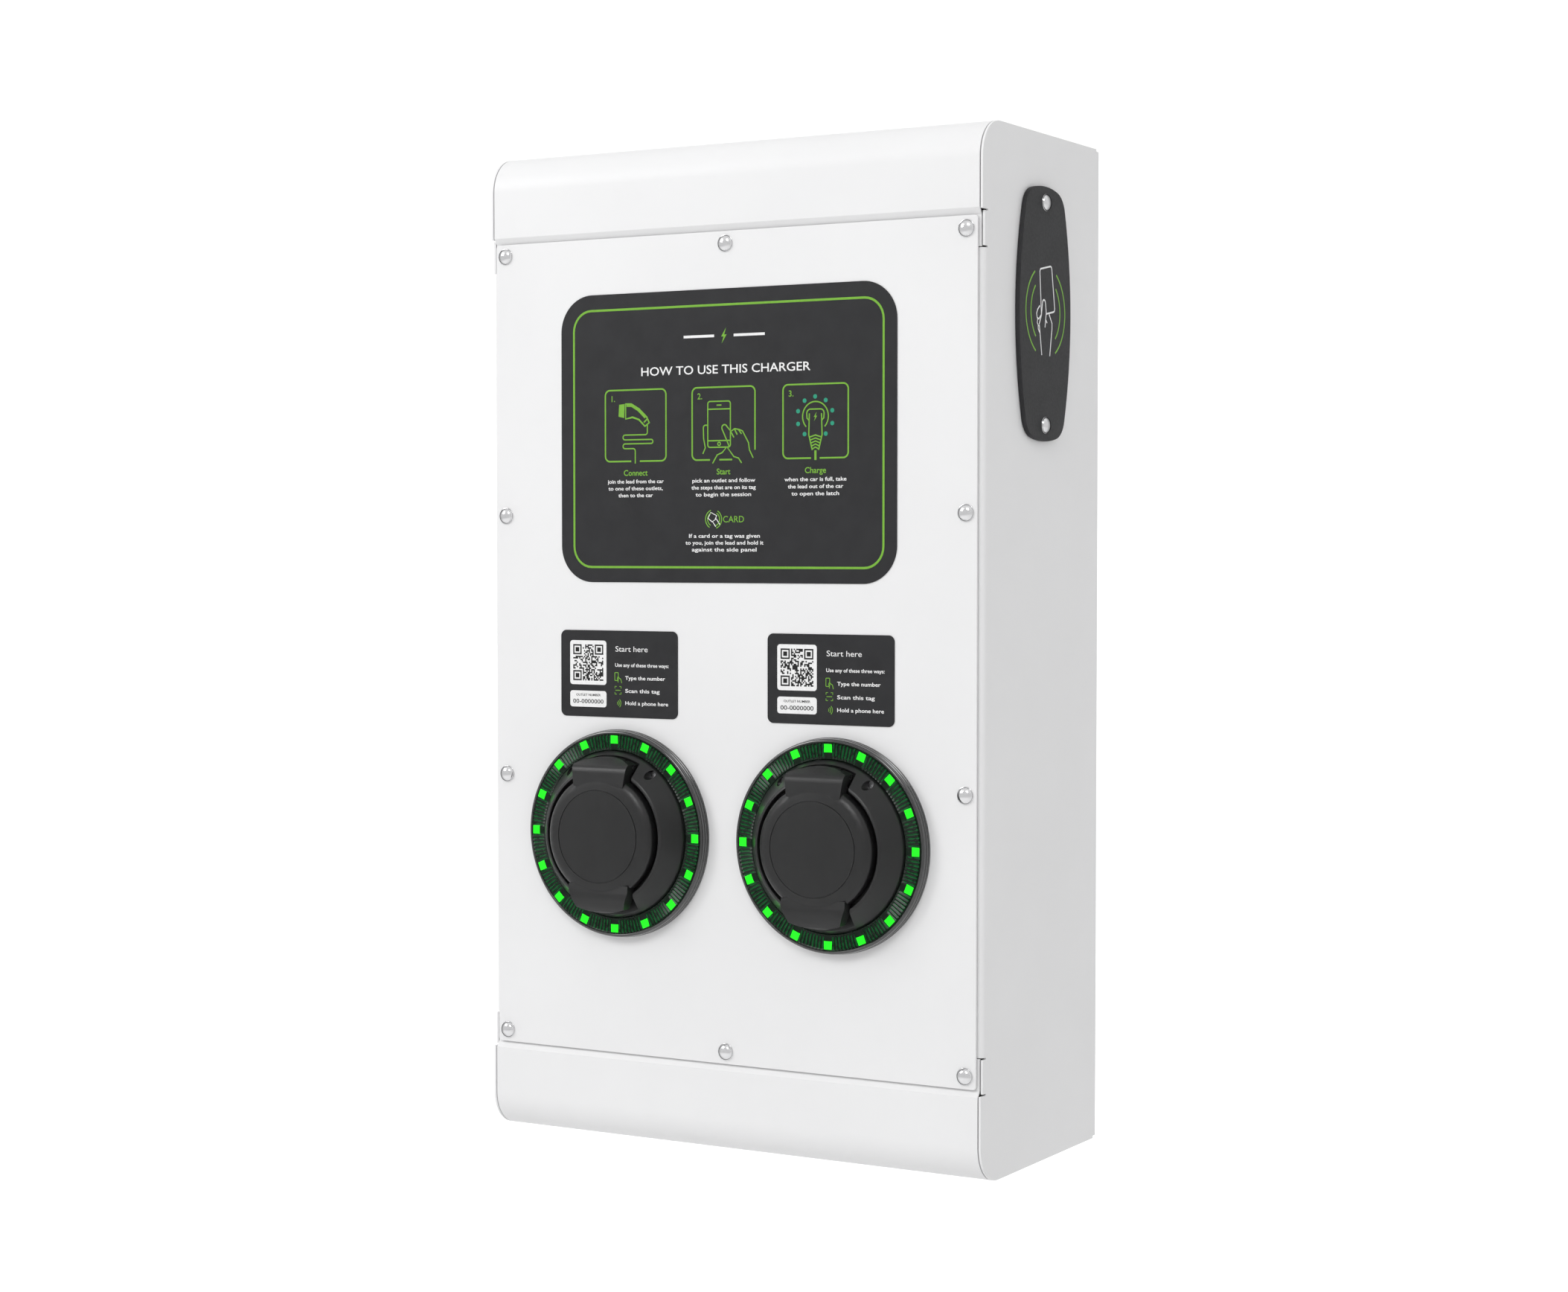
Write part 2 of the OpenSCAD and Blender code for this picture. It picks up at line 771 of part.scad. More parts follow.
module lid_disc() {
    rotate_extrude() polygon([
        [0, lid_h - lid_shell], [seal_r, lid_h - lid_shell], [seal_r, lid_under], [lid_r, lid_under],
        [lid_r, 21.4], [lid_r - 0.6, 22.6], [lid_r - 2.4, 24], [lid_r - 5, 25.3],
        [lid_r - 7.6, lid_h - 0.4], [29.1, lid_h - 0.05], [29.1, lid_h - 0.45], [28.6, lid_h - 0.45],
        [28.6, lid_h], [0, lid_h]
    ]);
}

module hinge_tab() {
    skin_low = hinge_z + knuckle_r + 0.1;
    difference() {
        intersection() {
            linear_extrude(lid_h + eps) tab_plan(tab_root_y, tab_root_half_w, tab_half_w, tab_tip_r);
            union() {
                along_x(2 * tab_half_w + eps) polygon([
                    [tab_root_y, skin_low], [tab_root_y, 24.6], [39.5, 24.6], [42, 23.9], [44, 22.3],
                    [tab_tip_r - 1, 16], [tab_tip_r + 1, 13.6], [tab_tip_r + 1, 12.8], [hinge_y, 12.2],
                    [hinge_y - 4, lid_under]
                ]);
                rod_x(knuckle_r, -tab_half_w, tab_half_w, hinge_y, hinge_z);
            }
        }
        // room for the tongue and the spring between the two knuckles, over the whole swing
        rod_x(knuckle_r + 0.1, -tongue_w / 2 - 1, spring_side_x, hinge_y, hinge_z);
        box([-tongue_w / 2 - 1, tab_root_y - 1, 0], [spring_side_x, hinge_y, skin_low]);
        box([-tongue_w / 2 - 1, hinge_y - eps, 0], [spring_side_x, hinge_y + 4.5, hinge_z]);
        rod_x(pin_r + fit, -pocket_half_w, pocket_half_w, hinge_y, hinge_z);
    }
}

module finger_tab() {
    root_half = 21.8;
    tip_half = 17.6;
    tip_y = sqrt(pow(finger_tip_r, 2) - pow(tip_half, 2));
    intersection() {
        linear_extrude(lid_h) intersection() {
            polygon([
                [-root_half, -30], [-root_half, -34.5], [-tip_half, -tip_y], [-tip_half, -finger_tip_r],
                [tip_half, -finger_tip_r], [tip_half, -tip_y], [root_half, -34.5], [root_half, -30]
            ]);
            circle(finger_tip_r);
        }
        along_x(2 * root_half + eps) polygon([
            [-30, 18.5], [-30, 24.6], [-36, 24.6], [-40, 23.8], [-44, 22.2], [-47, 20.2],
            [-finger_tip_r, 18.6], [-finger_tip_r, 17.4], [-36, lid_under], [-33.9, lid_under]
        ]);
    }
}

module socket_lid() {
    color("dimgray") difference() {
        union() {
            lid_disc();
            hinge_tab();
            finger_tab();
        }
        rod(seal_r, 0, lid_h - lid_shell);
    }
}

module lid_pin() {
    color("silver") rod_x(pin_r, -pin_len / 2, pin_len / 2, hinge_y, hinge_z);
}

// A wound spring on the hinge pin, with one leg on the cowl and one under the lid
module lid_spring() {
    turns = 5.5;
    steps = 12;
    coil_r = 2.25;
    pitch = 1.05;
    x0 = 7.4;
    last = turns * steps;
    coil = [
        for (i = [0:last])
            let (a = -90 + 360 * i / steps)
            [x0 + pitch * i / steps, hinge_y + coil_r * cos(a), hinge_z + coil_r * sin(a)]
    ];
    first_leg = [x0, pocket_inner_y + 0.8, hinge_z - coil_r];
    last_leg = [x0 + pitch * turns, hinge_y - 4.2, hinge_z + coil_r];
    color("silver") wire(concat([first_leg], coil, [last_leg]), 0.35, [1, 0, 0]);
}

module lid_seal() {
    color("black") ring(seal_r - seal_w, seal_r, lid_floor + play, lid_h - lid_shell);
}

// ---------------------------------------------------------------- cable lock

module lock_actuators() {
    low_y = bore_r + play;
    color("slategray") for (side = [-1, 1])
        at_socket(side) difference() {
            union() {
                box([-20, low_y, lock_z - 11], [20, low_y + 30, lock_z + 6.7]);
                box([-8, low_y + 30, lock_z - 8], [8, low_y + 38, lock_z + 4]);
            }
            translate([0, low_y - eps, lock_z]) rotate([-90, 0, 0])
                cylinder(r = lock_d / 2 + fit, h = 26 + eps);
        }
}

module lock_pin() {
    color("silver") translate([0, lock_tip_y, lock_z]) rotate([-90, 0, 0])
        cylinder(d = lock_d, h = lock_pin_len);
}

module socket_screws() {
    color("silver") for (side = [-1, 1])
        at_socket(side) at_cowl_screws() {
            difference() {
                rod(2.6, 4, 6.4);
                translate([0, 0, 5.2]) cylinder(r = 1.2, h = 2, $fn = 6);
            }
            rod(1.5, -8, 4);
            difference() {
                translate([0, 0, -panel_t - 2.4]) cylinder(r = 3.1, h = 2.4, $fn = 6);
                rod(1.5, -8, 0);
            }
        }
}

// ---------------------------------------------------------------- gear inside

// The plate that carries the gear, on four spacers
module gear_plate() {
    color("lightgray") difference() {
        union() {
            box([-gear_half_w, gear_face_y, -gear_half_h], [gear_half_w, plate_y, gear_half_h]);
            for (sx = [-1, 1], sz = [-1, 1])
                facing_front(sx * standoff_x, -sheet_t, sz * standoff_z)
                    cylinder(r = standoff_r, h = standoff_len);
        }
        for (sx = [-1, 1], sz = [-1, 1])
            facing_front(sx * standoff_x, -sheet_t + eps, sz * standoff_z)
                cylinder(r = standoff_hole_r, h = standoff_len + sheet_t + 2 * eps);
    }
}

module din_rail() {
    lip = 5;
    t = 1;
    color("silver") translate([0, gear_face_y, rail_z]) along_x(rail_len) {
        translate([-t, -rail_h / 2 + lip]) square([t, rail_h - 2 * lip]);
        for (s = [-1, 1]) {
            translate([-rail_d, s * (rail_h / 2 - lip + t / 2) - t / 2]) square([rail_d, t]);
            translate([-rail_d, s * (rail_h / 2 - lip / 2) - lip / 2]) square([t, lip]);
        }
    }
}

function device_x(i) = (i - (device_count - 1) / 2) * device_pitch;

// A rail-mounted device: body, raised nose and clips behind the rail's lips
module rail_device(w) {
    nose_h = 45;
    box([-w / 2, -44, -device_h / 2], [w / 2, 0, device_h / 2]);
    box([-w / 2, -60, -nose_h / 2], [w / 2, -44, nose_h / 2]);
    for (s = [-1, 1])
        translate([0, 0, s * (rail_h / 2 + 2.5)])
            box([-w / 2, 0, -2.2], [w / 2, rail_d - 1, 2.2]);
}

module at_device(i) {
    translate([device_x(i), device_y, rail_z]) children();
}

module rcbo(i) {
    color("whitesmoke") at_device(i) difference() {
        rail_device(2 * module_w);
        // slot that the toggle turns in
        box([-toggle_w / 2 - play, -61, toggle_dz - 10], [toggle_w / 2 + play, -52.5, toggle_dz + 10]);
        facing_front(test_dx, -52, test_dz) cylinder(r = test_r + fit, h = 10);
    }
}

// A toggle drum with its lever, on the axis of the drum
module rcbo_toggle(i) {
    color("dimgray") at_device(i) translate([0, -60, toggle_dz]) {
        rod_x(toggle_r, -toggle_w / 2, toggle_w / 2, 0, 0);
        rotate([-35, 0, 0]) box([-toggle_w / 2, -15, -2], [toggle_w / 2, 0, 2]);
    }
}

module rcbo_test(i) {
    color("royalblue") at_device(i) facing_front(test_dx, -60 + test_travel + 2, test_dz)
        cylinder(r = test_r, h = 2 * test_travel + 2);
}

module contactors() {
    color("silver") for (i = [1, 4])
        at_device(i) rail_device(2 * module_w);
}

module energy_meters() {
    color("gainsboro") for (i = [0, device_count - 1])
        at_device(i) difference() {
            rail_device(2 * module_w);
            box([-13, -61, -4], [13, -59, 12]);
        }
}

module power_supply() {
    color("darkgray") difference() {
        box([-148, gear_face_y - 30, 0], [-60, gear_face_y, 70]);
        for (k = [0:7])
            box([-142 + 10 * k, gear_face_y - 31, 15], [-138 + 10 * k, gear_face_y - 28, 55]);
    }
}

module controller_board() {
    board_y = gear_face_y - 10;
    board_w = 180;
    board_h = 110;
    board_z = -115;
    color("green") translate([0, board_y, board_z]) {
        box([-board_w / 2, -1.6, -board_h / 2], [board_w / 2, 0, board_h / 2]);
        for (sx = [-1, 1], sz = [-1, 1])
            facing_front(sx * (board_w / 2 - 6), 10, sz * (board_h / 2 - 6)) cylinder(r = 3, h = 10);
        for (k = [0:3])
            box([-80 + 24 * k, -17.6, 20], [-62 + 24 * k, -1.6, 48]);
        box([-20, -4.6, -20], [10, -1.6, 10]);
        for (k = [0:5])
            box([-84 + 28 * k, -12.6, -52], [-62 + 28 * k, -1.6, -40]);
        for (k = [0:2])
            facing_front(40 + 15 * k, -1.6, -10) cylinder(r = 5, h = 16);
    }
}

module terminal_block() {
    color("lightslategray") for (k = [0:5])
        difference() {
            box([-50.5 + 17 * k, gear_face_y - 36, 5], [-34.5 + 17 * k, gear_face_y, terminal_top]);
            facing_front(-42.5 + 17 * k, gear_face_y - 30, 16) cylinder(r = 3, h = 10);
            facing_front(-42.5 + 17 * k, gear_face_y - 30, 54) cylinder(r = 3, h = 10);
        }
}

module earth_bar() {
    z = -195;
    color("gold") {
        difference() {
            box([-60, gear_face_y - 16, z - 6], [60, gear_face_y - 8, z + 6]);
            for (k = [0:8])
                facing_front(-48 + 12 * k, gear_face_y - 10, z) cylinder(r = 2.5, h = 10);
        }
        for (s = [-1, 1])
            facing_front(s * 55, gear_face_y, z) cylinder(r = 4, h = 8);
    }
}

// ---------------------------------------------------------------- supply entry

module cable_gland() {
    body_len = 9;
    nut_len = 10;
    color("darkgray") translate([0, -gland_y, -half_h]) difference() {
        union() {
            rod(gland_d / 2, -body_len, 14);
            translate([0, 0, -body_len]) cylinder(d = gland_d + 10, h = body_len, $fn = 6);
            rod(gland_d / 2 + 2, -body_len - nut_len + 3, -body_len);
            translate([0, 0, -body_len - nut_len])
                cylinder(r1 = gland_d / 2 - 1, r2 = gland_d / 2 + 2, h = 3);
        }
        rod(gland_bore_d / 2, -body_len - nut_len - eps, 14 + eps);
    }
}

module gland_nut() {
    color("dimgray") translate([0, -gland_y, -half_h + sheet_t]) difference() {
        cylinder(d = gland_d + 12, h = 6, $fn = 6);
        rod(gland_d / 2 + fit, -eps, 6 + eps);
    }
}

// The route of a bundle: down from a contactor, then round towards the rear of a socket
function loom_route(x_top, x_low, y, z_top, y_end) =
    let (bend = y - y_end, z_bend = socket_z + bend)
    [
        for (i = [0:14])
            let (t = i / 14, s = (1 - cos(180 * t)) / 2)
            [x_top + (x_low - x_top) * s, y, z_top + (z_bend - z_top) * t],
        for (a = [10:10:90]) [x_low, y - bend * (1 - cos(a)), z_bend - bend * sin(a)]
    ];

module wiring_loom() {
    wire_y = device_y - 36;
    tail_y = panel_face_y + well_depth + 16;
    device_low = rail_z - device_h / 2 - play;
    color("darkorange") {
        for (side = [-1, 1])
            wire(loom_route(side * device_x(4), socket_x + side * socket_pitch / 2, wire_y, device_low, tail_y),
                4.5, [1, 0, 0]);
        for (i = [2, 3])
            wire([[device_x(i), wire_y + 12, terminal_top + play], [device_x(i), wire_y + 12, device_low]],
                4, [0, 1, 0]);
    }
}

back_plate();
side_plate_left();
side_plate_right();
top_cap();
bottom_cap();
front_panel();
panel_gasket();
panel_screws();
panel_rivet_nuts();
instruction_label();
info_tag(-1);  // info_tag_left
info_tag(1);  // info_tag_right
reader_plate();
reader_screws();
reader_board();
at_socket(-1) led_bezel();  // led_bezel_left
at_socket(1) led_bezel();  // led_bezel_right
at_socket(-1) led_board();  // led_board_left
at_socket(1) led_board();  // led_board_right
at_socket(-1) leds();  // leds_left
at_socket(1) leds();  // leds_right
at_socket(-1) led_lens();  // led_lens_left
at_socket(1) led_lens();  // led_lens_right
at_socket(-1) socket_cowl();  // socket_cowl_left
at_socket(1) socket_cowl();  // socket_cowl_right
at_socket(-1) socket_insert();  // socket_insert_left
at_socket(1) socket_insert();  // socket_insert_right
at_socket(-1) contact_block();  // contact_block_left
at_socket(1) contact_block();  // contact_block_right
at_socket(-1) contact_tubes();  // contact_tubes_left
at_socket(1) contact_tubes();  // contact_tubes_right
at_socket(-1) socket_lid();  // socket_lid_left
at_socket(1) socket_lid();  // socket_lid_right
at_socket(-1) lid_pin();  // lid_pin_left
at_socket(1) lid_pin();  // lid_pin_right
at_socket(-1) lid_spring();  // lid_spring_left
at_socket(1) lid_spring();  // lid_spring_right
at_socket(-1) lid_seal();  // lid_seal_left
at_socket(1) lid_seal();  // lid_seal_right
lock_actuators();
at_socket(-1) lock_pin();  // lock_pin_left
at_socket(1) lock_pin();  // lock_pin_right
socket_screws();
gear_plate();
din_rail();
rcbo(2);  // rcbo_left
rcbo(3);  // rcbo_right
rcbo_toggle(2);  // rcbo_toggle_left
rcbo_toggle(3);  // rcbo_toggle_right
rcbo_test(2);  // rcbo_test_left
rcbo_test(3);  // rcbo_test_right
contactors();
energy_meters();
power_supply();
controller_board();
terminal_block();
earth_bar();
cable_gland();
gland_nut();
wiring_loom();
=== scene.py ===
"""Looks of a wall-mounted vehicle charging unit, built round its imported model."""

import json
import random
from math import atan2, cos, pi, radians, sin, sqrt, tau

import bmesh
import bpy
from bpy.props import (
    FloatProperty, FloatVectorProperty, IntProperty, PointerProperty,
)
from mathutils import Matrix, Vector


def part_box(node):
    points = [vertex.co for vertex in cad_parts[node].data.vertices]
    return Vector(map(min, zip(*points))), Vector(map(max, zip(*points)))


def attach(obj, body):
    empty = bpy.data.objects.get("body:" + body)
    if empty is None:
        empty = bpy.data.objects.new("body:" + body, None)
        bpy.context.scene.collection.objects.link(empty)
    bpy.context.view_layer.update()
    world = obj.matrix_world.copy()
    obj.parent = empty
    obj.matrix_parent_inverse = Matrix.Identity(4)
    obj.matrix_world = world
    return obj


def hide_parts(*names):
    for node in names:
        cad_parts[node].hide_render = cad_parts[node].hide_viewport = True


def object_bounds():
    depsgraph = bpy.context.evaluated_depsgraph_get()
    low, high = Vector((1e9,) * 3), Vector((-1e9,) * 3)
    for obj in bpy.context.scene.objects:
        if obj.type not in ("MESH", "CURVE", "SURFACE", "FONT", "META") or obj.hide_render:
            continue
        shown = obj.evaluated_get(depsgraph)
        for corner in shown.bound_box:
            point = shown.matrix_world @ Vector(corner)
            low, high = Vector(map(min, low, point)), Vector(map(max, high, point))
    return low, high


bl_info = {
    "name": "Wall Charging Unit",
    "version": (1, 0, 0),
    "blender": (4, 5, 0),
    "location": "View3D > Sidebar > Charging Unit",
    "description": "Builds the visible pieces of a two-socket wall charging unit",
    "category": "Object",
}

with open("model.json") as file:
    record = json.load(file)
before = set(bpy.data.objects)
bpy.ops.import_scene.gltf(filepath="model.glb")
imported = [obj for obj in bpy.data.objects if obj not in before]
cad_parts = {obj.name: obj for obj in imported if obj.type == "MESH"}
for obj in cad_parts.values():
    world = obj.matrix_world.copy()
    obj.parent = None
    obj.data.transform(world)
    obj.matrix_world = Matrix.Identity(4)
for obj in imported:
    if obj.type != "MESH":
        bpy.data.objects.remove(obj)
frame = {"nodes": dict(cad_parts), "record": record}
CAD_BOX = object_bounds()

MM = 0.001
CAP_SHARE = 0.69  # of a letter's body that its capitals take up
NOISE_RANGE = (0.3, 0.7)  # that a noise mostly stays in
LENS_INNER = 52.6  # radius of the opening in the light ring, in millimetres
SIDES = ("left", "right")

# Turns z towards the front of the unit, and z towards its right with x towards the wall
FRONT = Matrix.Rotation(pi / 2, 4, "X")
RIGHT = Matrix(((0, 0, 1, 0), (1, 0, 0, 0), (0, 1, 0, 0), (0, 0, 0, 1)))


def length(name, default, description):
    return FloatProperty(name=name, default=default, min=0, unit="LENGTH", precision=5,
                         description=description)


def colour(name, default, description):
    return FloatVectorProperty(name=name, default=default, size=3, min=0, max=1,
                               subtype="COLOR", description=description)


# ---------------------------------------------------------------- settings


class HousingSettings(bpy.types.PropertyGroup):
    coat: colour("Powder coat", (0.86, 0.86, 0.865), "Colour of the coated sheet")
    edge_ease: length("Edge ease", 0.00035, "Rounding that the coat gives to cut edges")
    ripple: FloatProperty(name="Orange peel", default=0.12, min=0, max=1, subtype="FACTOR",
                          description="Strength of the fine ripple in the coat")


class PrintSettings(bpy.types.PropertyGroup):
    film: colour("Label film", (0.024, 0.024, 0.026), "Colour of the printed film")
    green: colour("Green ink", (0.195, 0.462, 0.044), "Colour of the green print")
    teal: colour("Teal ink", (0.024, 0.33, 0.2), "Colour of the dots round the plug icon")
    white: colour("White ink", (0.9, 0.9, 0.9), "Colour of the white print")
    line: length("Fine line", 0.0008, "Width of the icons' lines")
    border: length("Border line", 0.0014, "Width of the line round the instruction label")
    ink: length("Ink height", 0.00005, "Height of the print over the film")
    seed: IntProperty(name="Seed", default=7, description="Seed of the code panels")


class RingSettings(bpy.types.PropertyGroup):
    lit: colour("Light", (0.004, 1.0, 0.004), "Colour of the lit squares")
    glow: FloatProperty(name="Glow", default=1.4, min=0, description="Strength of the lights")
    lens: colour("Lens", (0.0015, 0.02, 0.006), "Colour of the smoked lens")
    flute_depth: length("Flute depth", 0.0008, "Depth of the lens's radial flutes")
    flutes: IntProperty(name="Flutes", default=160, min=32, description="Flutes round the lens")
    lights: IntProperty(name="Lights", default=16, min=4, description="Lights round a ring")
    light_circle: length("Light circle", 0.0593, "Radius of the circle of lights")
    light_size: length("Light size", 0.0054, "Side of a square light")


class SocketSettings(bpy.types.PropertyGroup):
    moulding: colour("Moulding", (0.011, 0.011, 0.0115), "Colour of the lids and cowls")
    crown: length("Lid crown", 0.001, "Rise of the lid's face towards its centre")
    ease: length("Edge ease", 0.0004, "Rounding of the moulded edges")


class StageSettings(bpy.types.PropertyGroup):
    lens: FloatProperty(name="Lens", default=65.24, min=10, subtype="DISTANCE_CAMERA",
                        description="Focal length of the camera")
    place: FloatVectorProperty(name="Camera place", default=(0.9051, -1.6537, 0.0624), size=3,
                               subtype="TRANSLATION", description="Place of the camera")
    turn: FloatVectorProperty(name="Camera turn", size=3, subtype="EULER",
                              default=(radians(88.02), 0, radians(30.11)),
                              description="Direction of the camera")
    floor_gap: length("Floor gap", 0.75, "Distance of the floor below the unit")
    sky: FloatProperty(name="Sky", default=0.75, min=0, description="Strength of the even light")


class UnitSettings(bpy.types.PropertyGroup):
    housing: PointerProperty(type=HousingSettings)
    prints: PointerProperty(type=PrintSettings)
    ring: PointerProperty(type=RingSettings)
    socket: PointerProperty(type=SocketSettings)
    stage: PointerProperty(type=StageSettings)


def settings():
    return bpy.context.scene.charging_unit


# ---------------------------------------------------------------- finishes


class Finish:
    """A procedural material under construction."""

    def __init__(self, name, **sockets):
        self.material = bpy.data.materials.new(name)
        self.material.use_nodes = True
        self.nodes = self.material.node_tree.nodes
        self.shader = self.nodes["Principled BSDF"]
        for key, value in sockets.items():
            self.put(self.shader, key.replace("_", " "), value)

    def put(self, node, socket, value):
        """Sets a socket to a value, or joins it to another node's socket."""
        if isinstance(value, bpy.types.NodeSocket):
            self.material.node_tree.links.new(value, node.inputs[socket])
        elif isinstance(value, tuple) and len(value) == 3 and len(node.inputs[socket].default_value) == 4:
            node.inputs[socket].default_value = (*value, 1)
        else:
            node.inputs[socket].default_value = value

    def add(self, kind, **sockets):
        node = self.nodes.new("ShaderNode" + kind)
        for key, value in sockets.items():
            self.put(node, key.replace("_", " "), value)
        return node

    def place(self):
        return self.nodes.get("Place") or self.named_place()

    def named_place(self):
        node = self.nodes.new("ShaderNodeTexCoord")
        node.name = "Place"
        return node

    def noise(self, size, detail=3.0, stretch=(1, 1, 1)):
        """A noise whose features are about `size` millimetres."""
        mapping = self.add("Mapping", Vector=self.place().outputs["Object"])
        mapping.inputs["Scale"].default_value = stretch
        node = self.add("TexNoise", Vector=mapping.outputs[0], Scale=1 / (size * MM), Detail=detail)
        return node.outputs["Fac"]

    def cells(self, size, output="Color"):
        node = self.add("TexVoronoi", Vector=self.place().outputs["Object"], Scale=1 / (size * MM))
        return node.outputs[output]

    def spread(self, value, low, high):
        """Maps a noise's middle range onto low to high."""
        node = self.add("MapRange")
        self.put(node, 0, value)
        for index, number in enumerate((*NOISE_RANGE, low, high), start=1):
            node.inputs[index].default_value = number
        return node.outputs[0]

    def blend(self, factor, first, second):
        ramp = self.add("ValToRGB", Fac=factor)
        for element, shade, at in zip(ramp.color_ramp.elements, (first, second), NOISE_RANGE):
            element.color = (*shade, 1)
            element.position = at
        return ramp.outputs["Color"]

    def bump(self, height, depth, strength=1.0):
        """Depth is in millimetres."""
        node = self.add("Bump", Height=height, Distance=depth * MM, Strength=strength)
        if self.shader.inputs["Normal"].links:
            self.put(node, "Normal", self.shader.inputs["Normal"].links[0].from_socket)
        self.put(self.shader, "Normal", node.outputs[0])

    def use(self, socket, value):
        self.put(self.shader, socket, value)


def shaded(shade, factor):
    return tuple(min(1, part * factor) for part in shade)


def powder_coat():
    own = settings().housing
    coat = tuple(own.coat)
    f = Finish("powder_coat", Specular_IOR_Level=0.42, Coat_Weight=0.08, Coat_Roughness=0.3)
    f.use("Base Color", f.blend(f.noise(90), shaded(coat, 0.985), shaded(coat, 1.01)))
    f.use("Roughness", f.spread(f.noise(1.6), 0.38, 0.5))
    f.bump(f.noise(1.1, 2), 0.05, own.ripple)
    f.bump(f.noise(0.25, 1), 0.01, own.ripple)
    return f


def zinc_sheet():
    f = Finish("zinc_sheet", Metallic=1.0)
    spangle = f.cells(5)
    f.use("Base Color", f.blend(spangle, (0.58, 0.6, 0.62), (0.63, 0.65, 0.67)))
    f.use("Roughness", f.spread(spangle, 0.38, 0.44))
    f.bump(f.noise(0.5), 0.01, 0.3)
    return f


def moulded(name, shade, rough=0.5, grain=0.35, depth=0.02, **sockets):
    """A moulding with spark-eroded grain; grain and depth are in millimetres."""
    f = Finish(name, **sockets)
    f.use("Base Color", f.blend(f.noise(14), shaded(shade, 0.9), shaded(shade, 1.1)))
    f.use("Roughness", f.spread(f.noise(grain * 6), rough - 0.04, rough + 0.05))
    f.bump(f.noise(grain, 2), depth, 0.35)
    return f


def turned_metal(name, shade, rough=0.25):
    f = Finish(name, Metallic=1.0)
    f.use("Base Color", f.blend(f.noise(3), shaded(shade, 0.93), shade))
    f.use("Roughness", f.spread(f.noise(0.8, 4, (1, 1, 6)), rough * 0.8, rough * 1.3))
    f.bump(f.noise(0.15, 2, (1, 1, 8)), 0.004, 0.3)
    return f


def steel_with_painted_reflection():
    """Polished domes, with a painted dark reflection where they turn away."""
    f = Finish("steel_with_painted_reflection", Metallic=1.0, Specular_Tint=(0.1, 0.1, 0.1))
    # Painted reflection: the base colour goes from bright to near black where the domes turn away, standing
    # in for a dark surround mirrored in them.
    turned = f.add("LayerWeight", Blend=0.45).outputs["Facing"]
    f.use("Base Color", f.blend(turned, (0.86, 0.86, 0.87), (0.1, 0.1, 0.105)))
    f.use("Roughness", f.spread(f.noise(1.2), 0.08, 0.16))
    f.bump(f.noise(0.3), 0.003, 0.3)
    return f


def foam():
    f = Finish("gasket_foam", Roughness=0.95)
    f.use("Base Color", f.blend(f.noise(2), (0.03, 0.03, 0.03), (0.06, 0.06, 0.06)))
    f.bump(f.cells(0.6, "Distance"), 0.1, 0.6)
    return f


def label_film():
    f = moulded("label_film", tuple(settings().prints.film), 0.46, 0.5, 0.008)
    f.use("Specular IOR Level", 0.25)
    return f


def ink(name, shade):
    f = Finish(name, Specular_IOR_Level=0.3)
    f.use("Base Color", f.blend(f.noise(1.2), shaded(shade, 0.94), shaded(shade, 1.03)))
    f.use("Roughness", f.spread(f.noise(0.6), 0.45, 0.6))
    f.bump(f.noise(0.2, 1), 0.003, 0.3)
    return f


def circuit_board():
    f = Finish("circuit_board", Coat_Weight=0.3, Coat_Roughness=0.2)
    traces = f.cells(3.5, "Distance")
    f.use("Base Color", f.blend(traces, (0.008, 0.07, 0.03), (0.015, 0.13, 0.05)))
    f.use("Roughness", f.spread(f.noise(1.5), 0.3, 0.45))
    f.bump(traces, 0.03, 0.5)
    return f


def lit_square():
    own = settings().ring
    lit = tuple(own.lit)
    f = Finish("lit_square", Base_Color=(0, 0, 0), Roughness=0.3, Emission_Strength=own.glow)
    f.use("Emission Color", f.blend(f.noise(1.4, 1), shaded(lit, 0.8), lit))
    f.bump(f.noise(0.5, 1), 0.01, 0.3)
    return f


def smoked_lens_with_painted_glow():
    lens = tuple(settings().ring.lens)
    # The lens is no lamp, yet it carries an emission: a painted green glow.
    f = Finish("smoked_lens_with_painted_glow", Roughness=0.26, Specular_IOR_Level=0.22, Coat_Weight=0.08,
               Coat_Roughness=0.05, Emission_Strength=1.0)
    groove = f.add("Attribute")
    groove.attribute_name = "groove"
    # Mask of the flutes between the lights, varied by noise; it lightens their colour and drives the
    # painted glow.
    shade = f.add("Math")
    shade.operation = "MULTIPLY"
    f.put(shade, 0, groove.outputs["Fac"])
    f.put(shade, 1, f.spread(f.noise(2.4, 2), 0.4, 1.2))
    f.use("Base Color", f.blend(shade.outputs[0], shaded(lens, 0.4), shaded(lens, 2)))
    # Painted glow: green emission in the flutes stands in for the lights' light spreading through the lens.
    f.use("Emission Color", f.blend(shade.outputs[0], (0, 0.0015, 0.0004), (0.0004, 0.05, 0.009)))
    f.bump(f.noise(0.4, 1), 0.01, 0.3)
    return f


def perforated_case():
    f = turned_metal("supply_case", (0.6, 0.61, 0.62), 0.4)
    f.bump(f.cells(5, "Distance"), 0.1, 0.2)
    return f


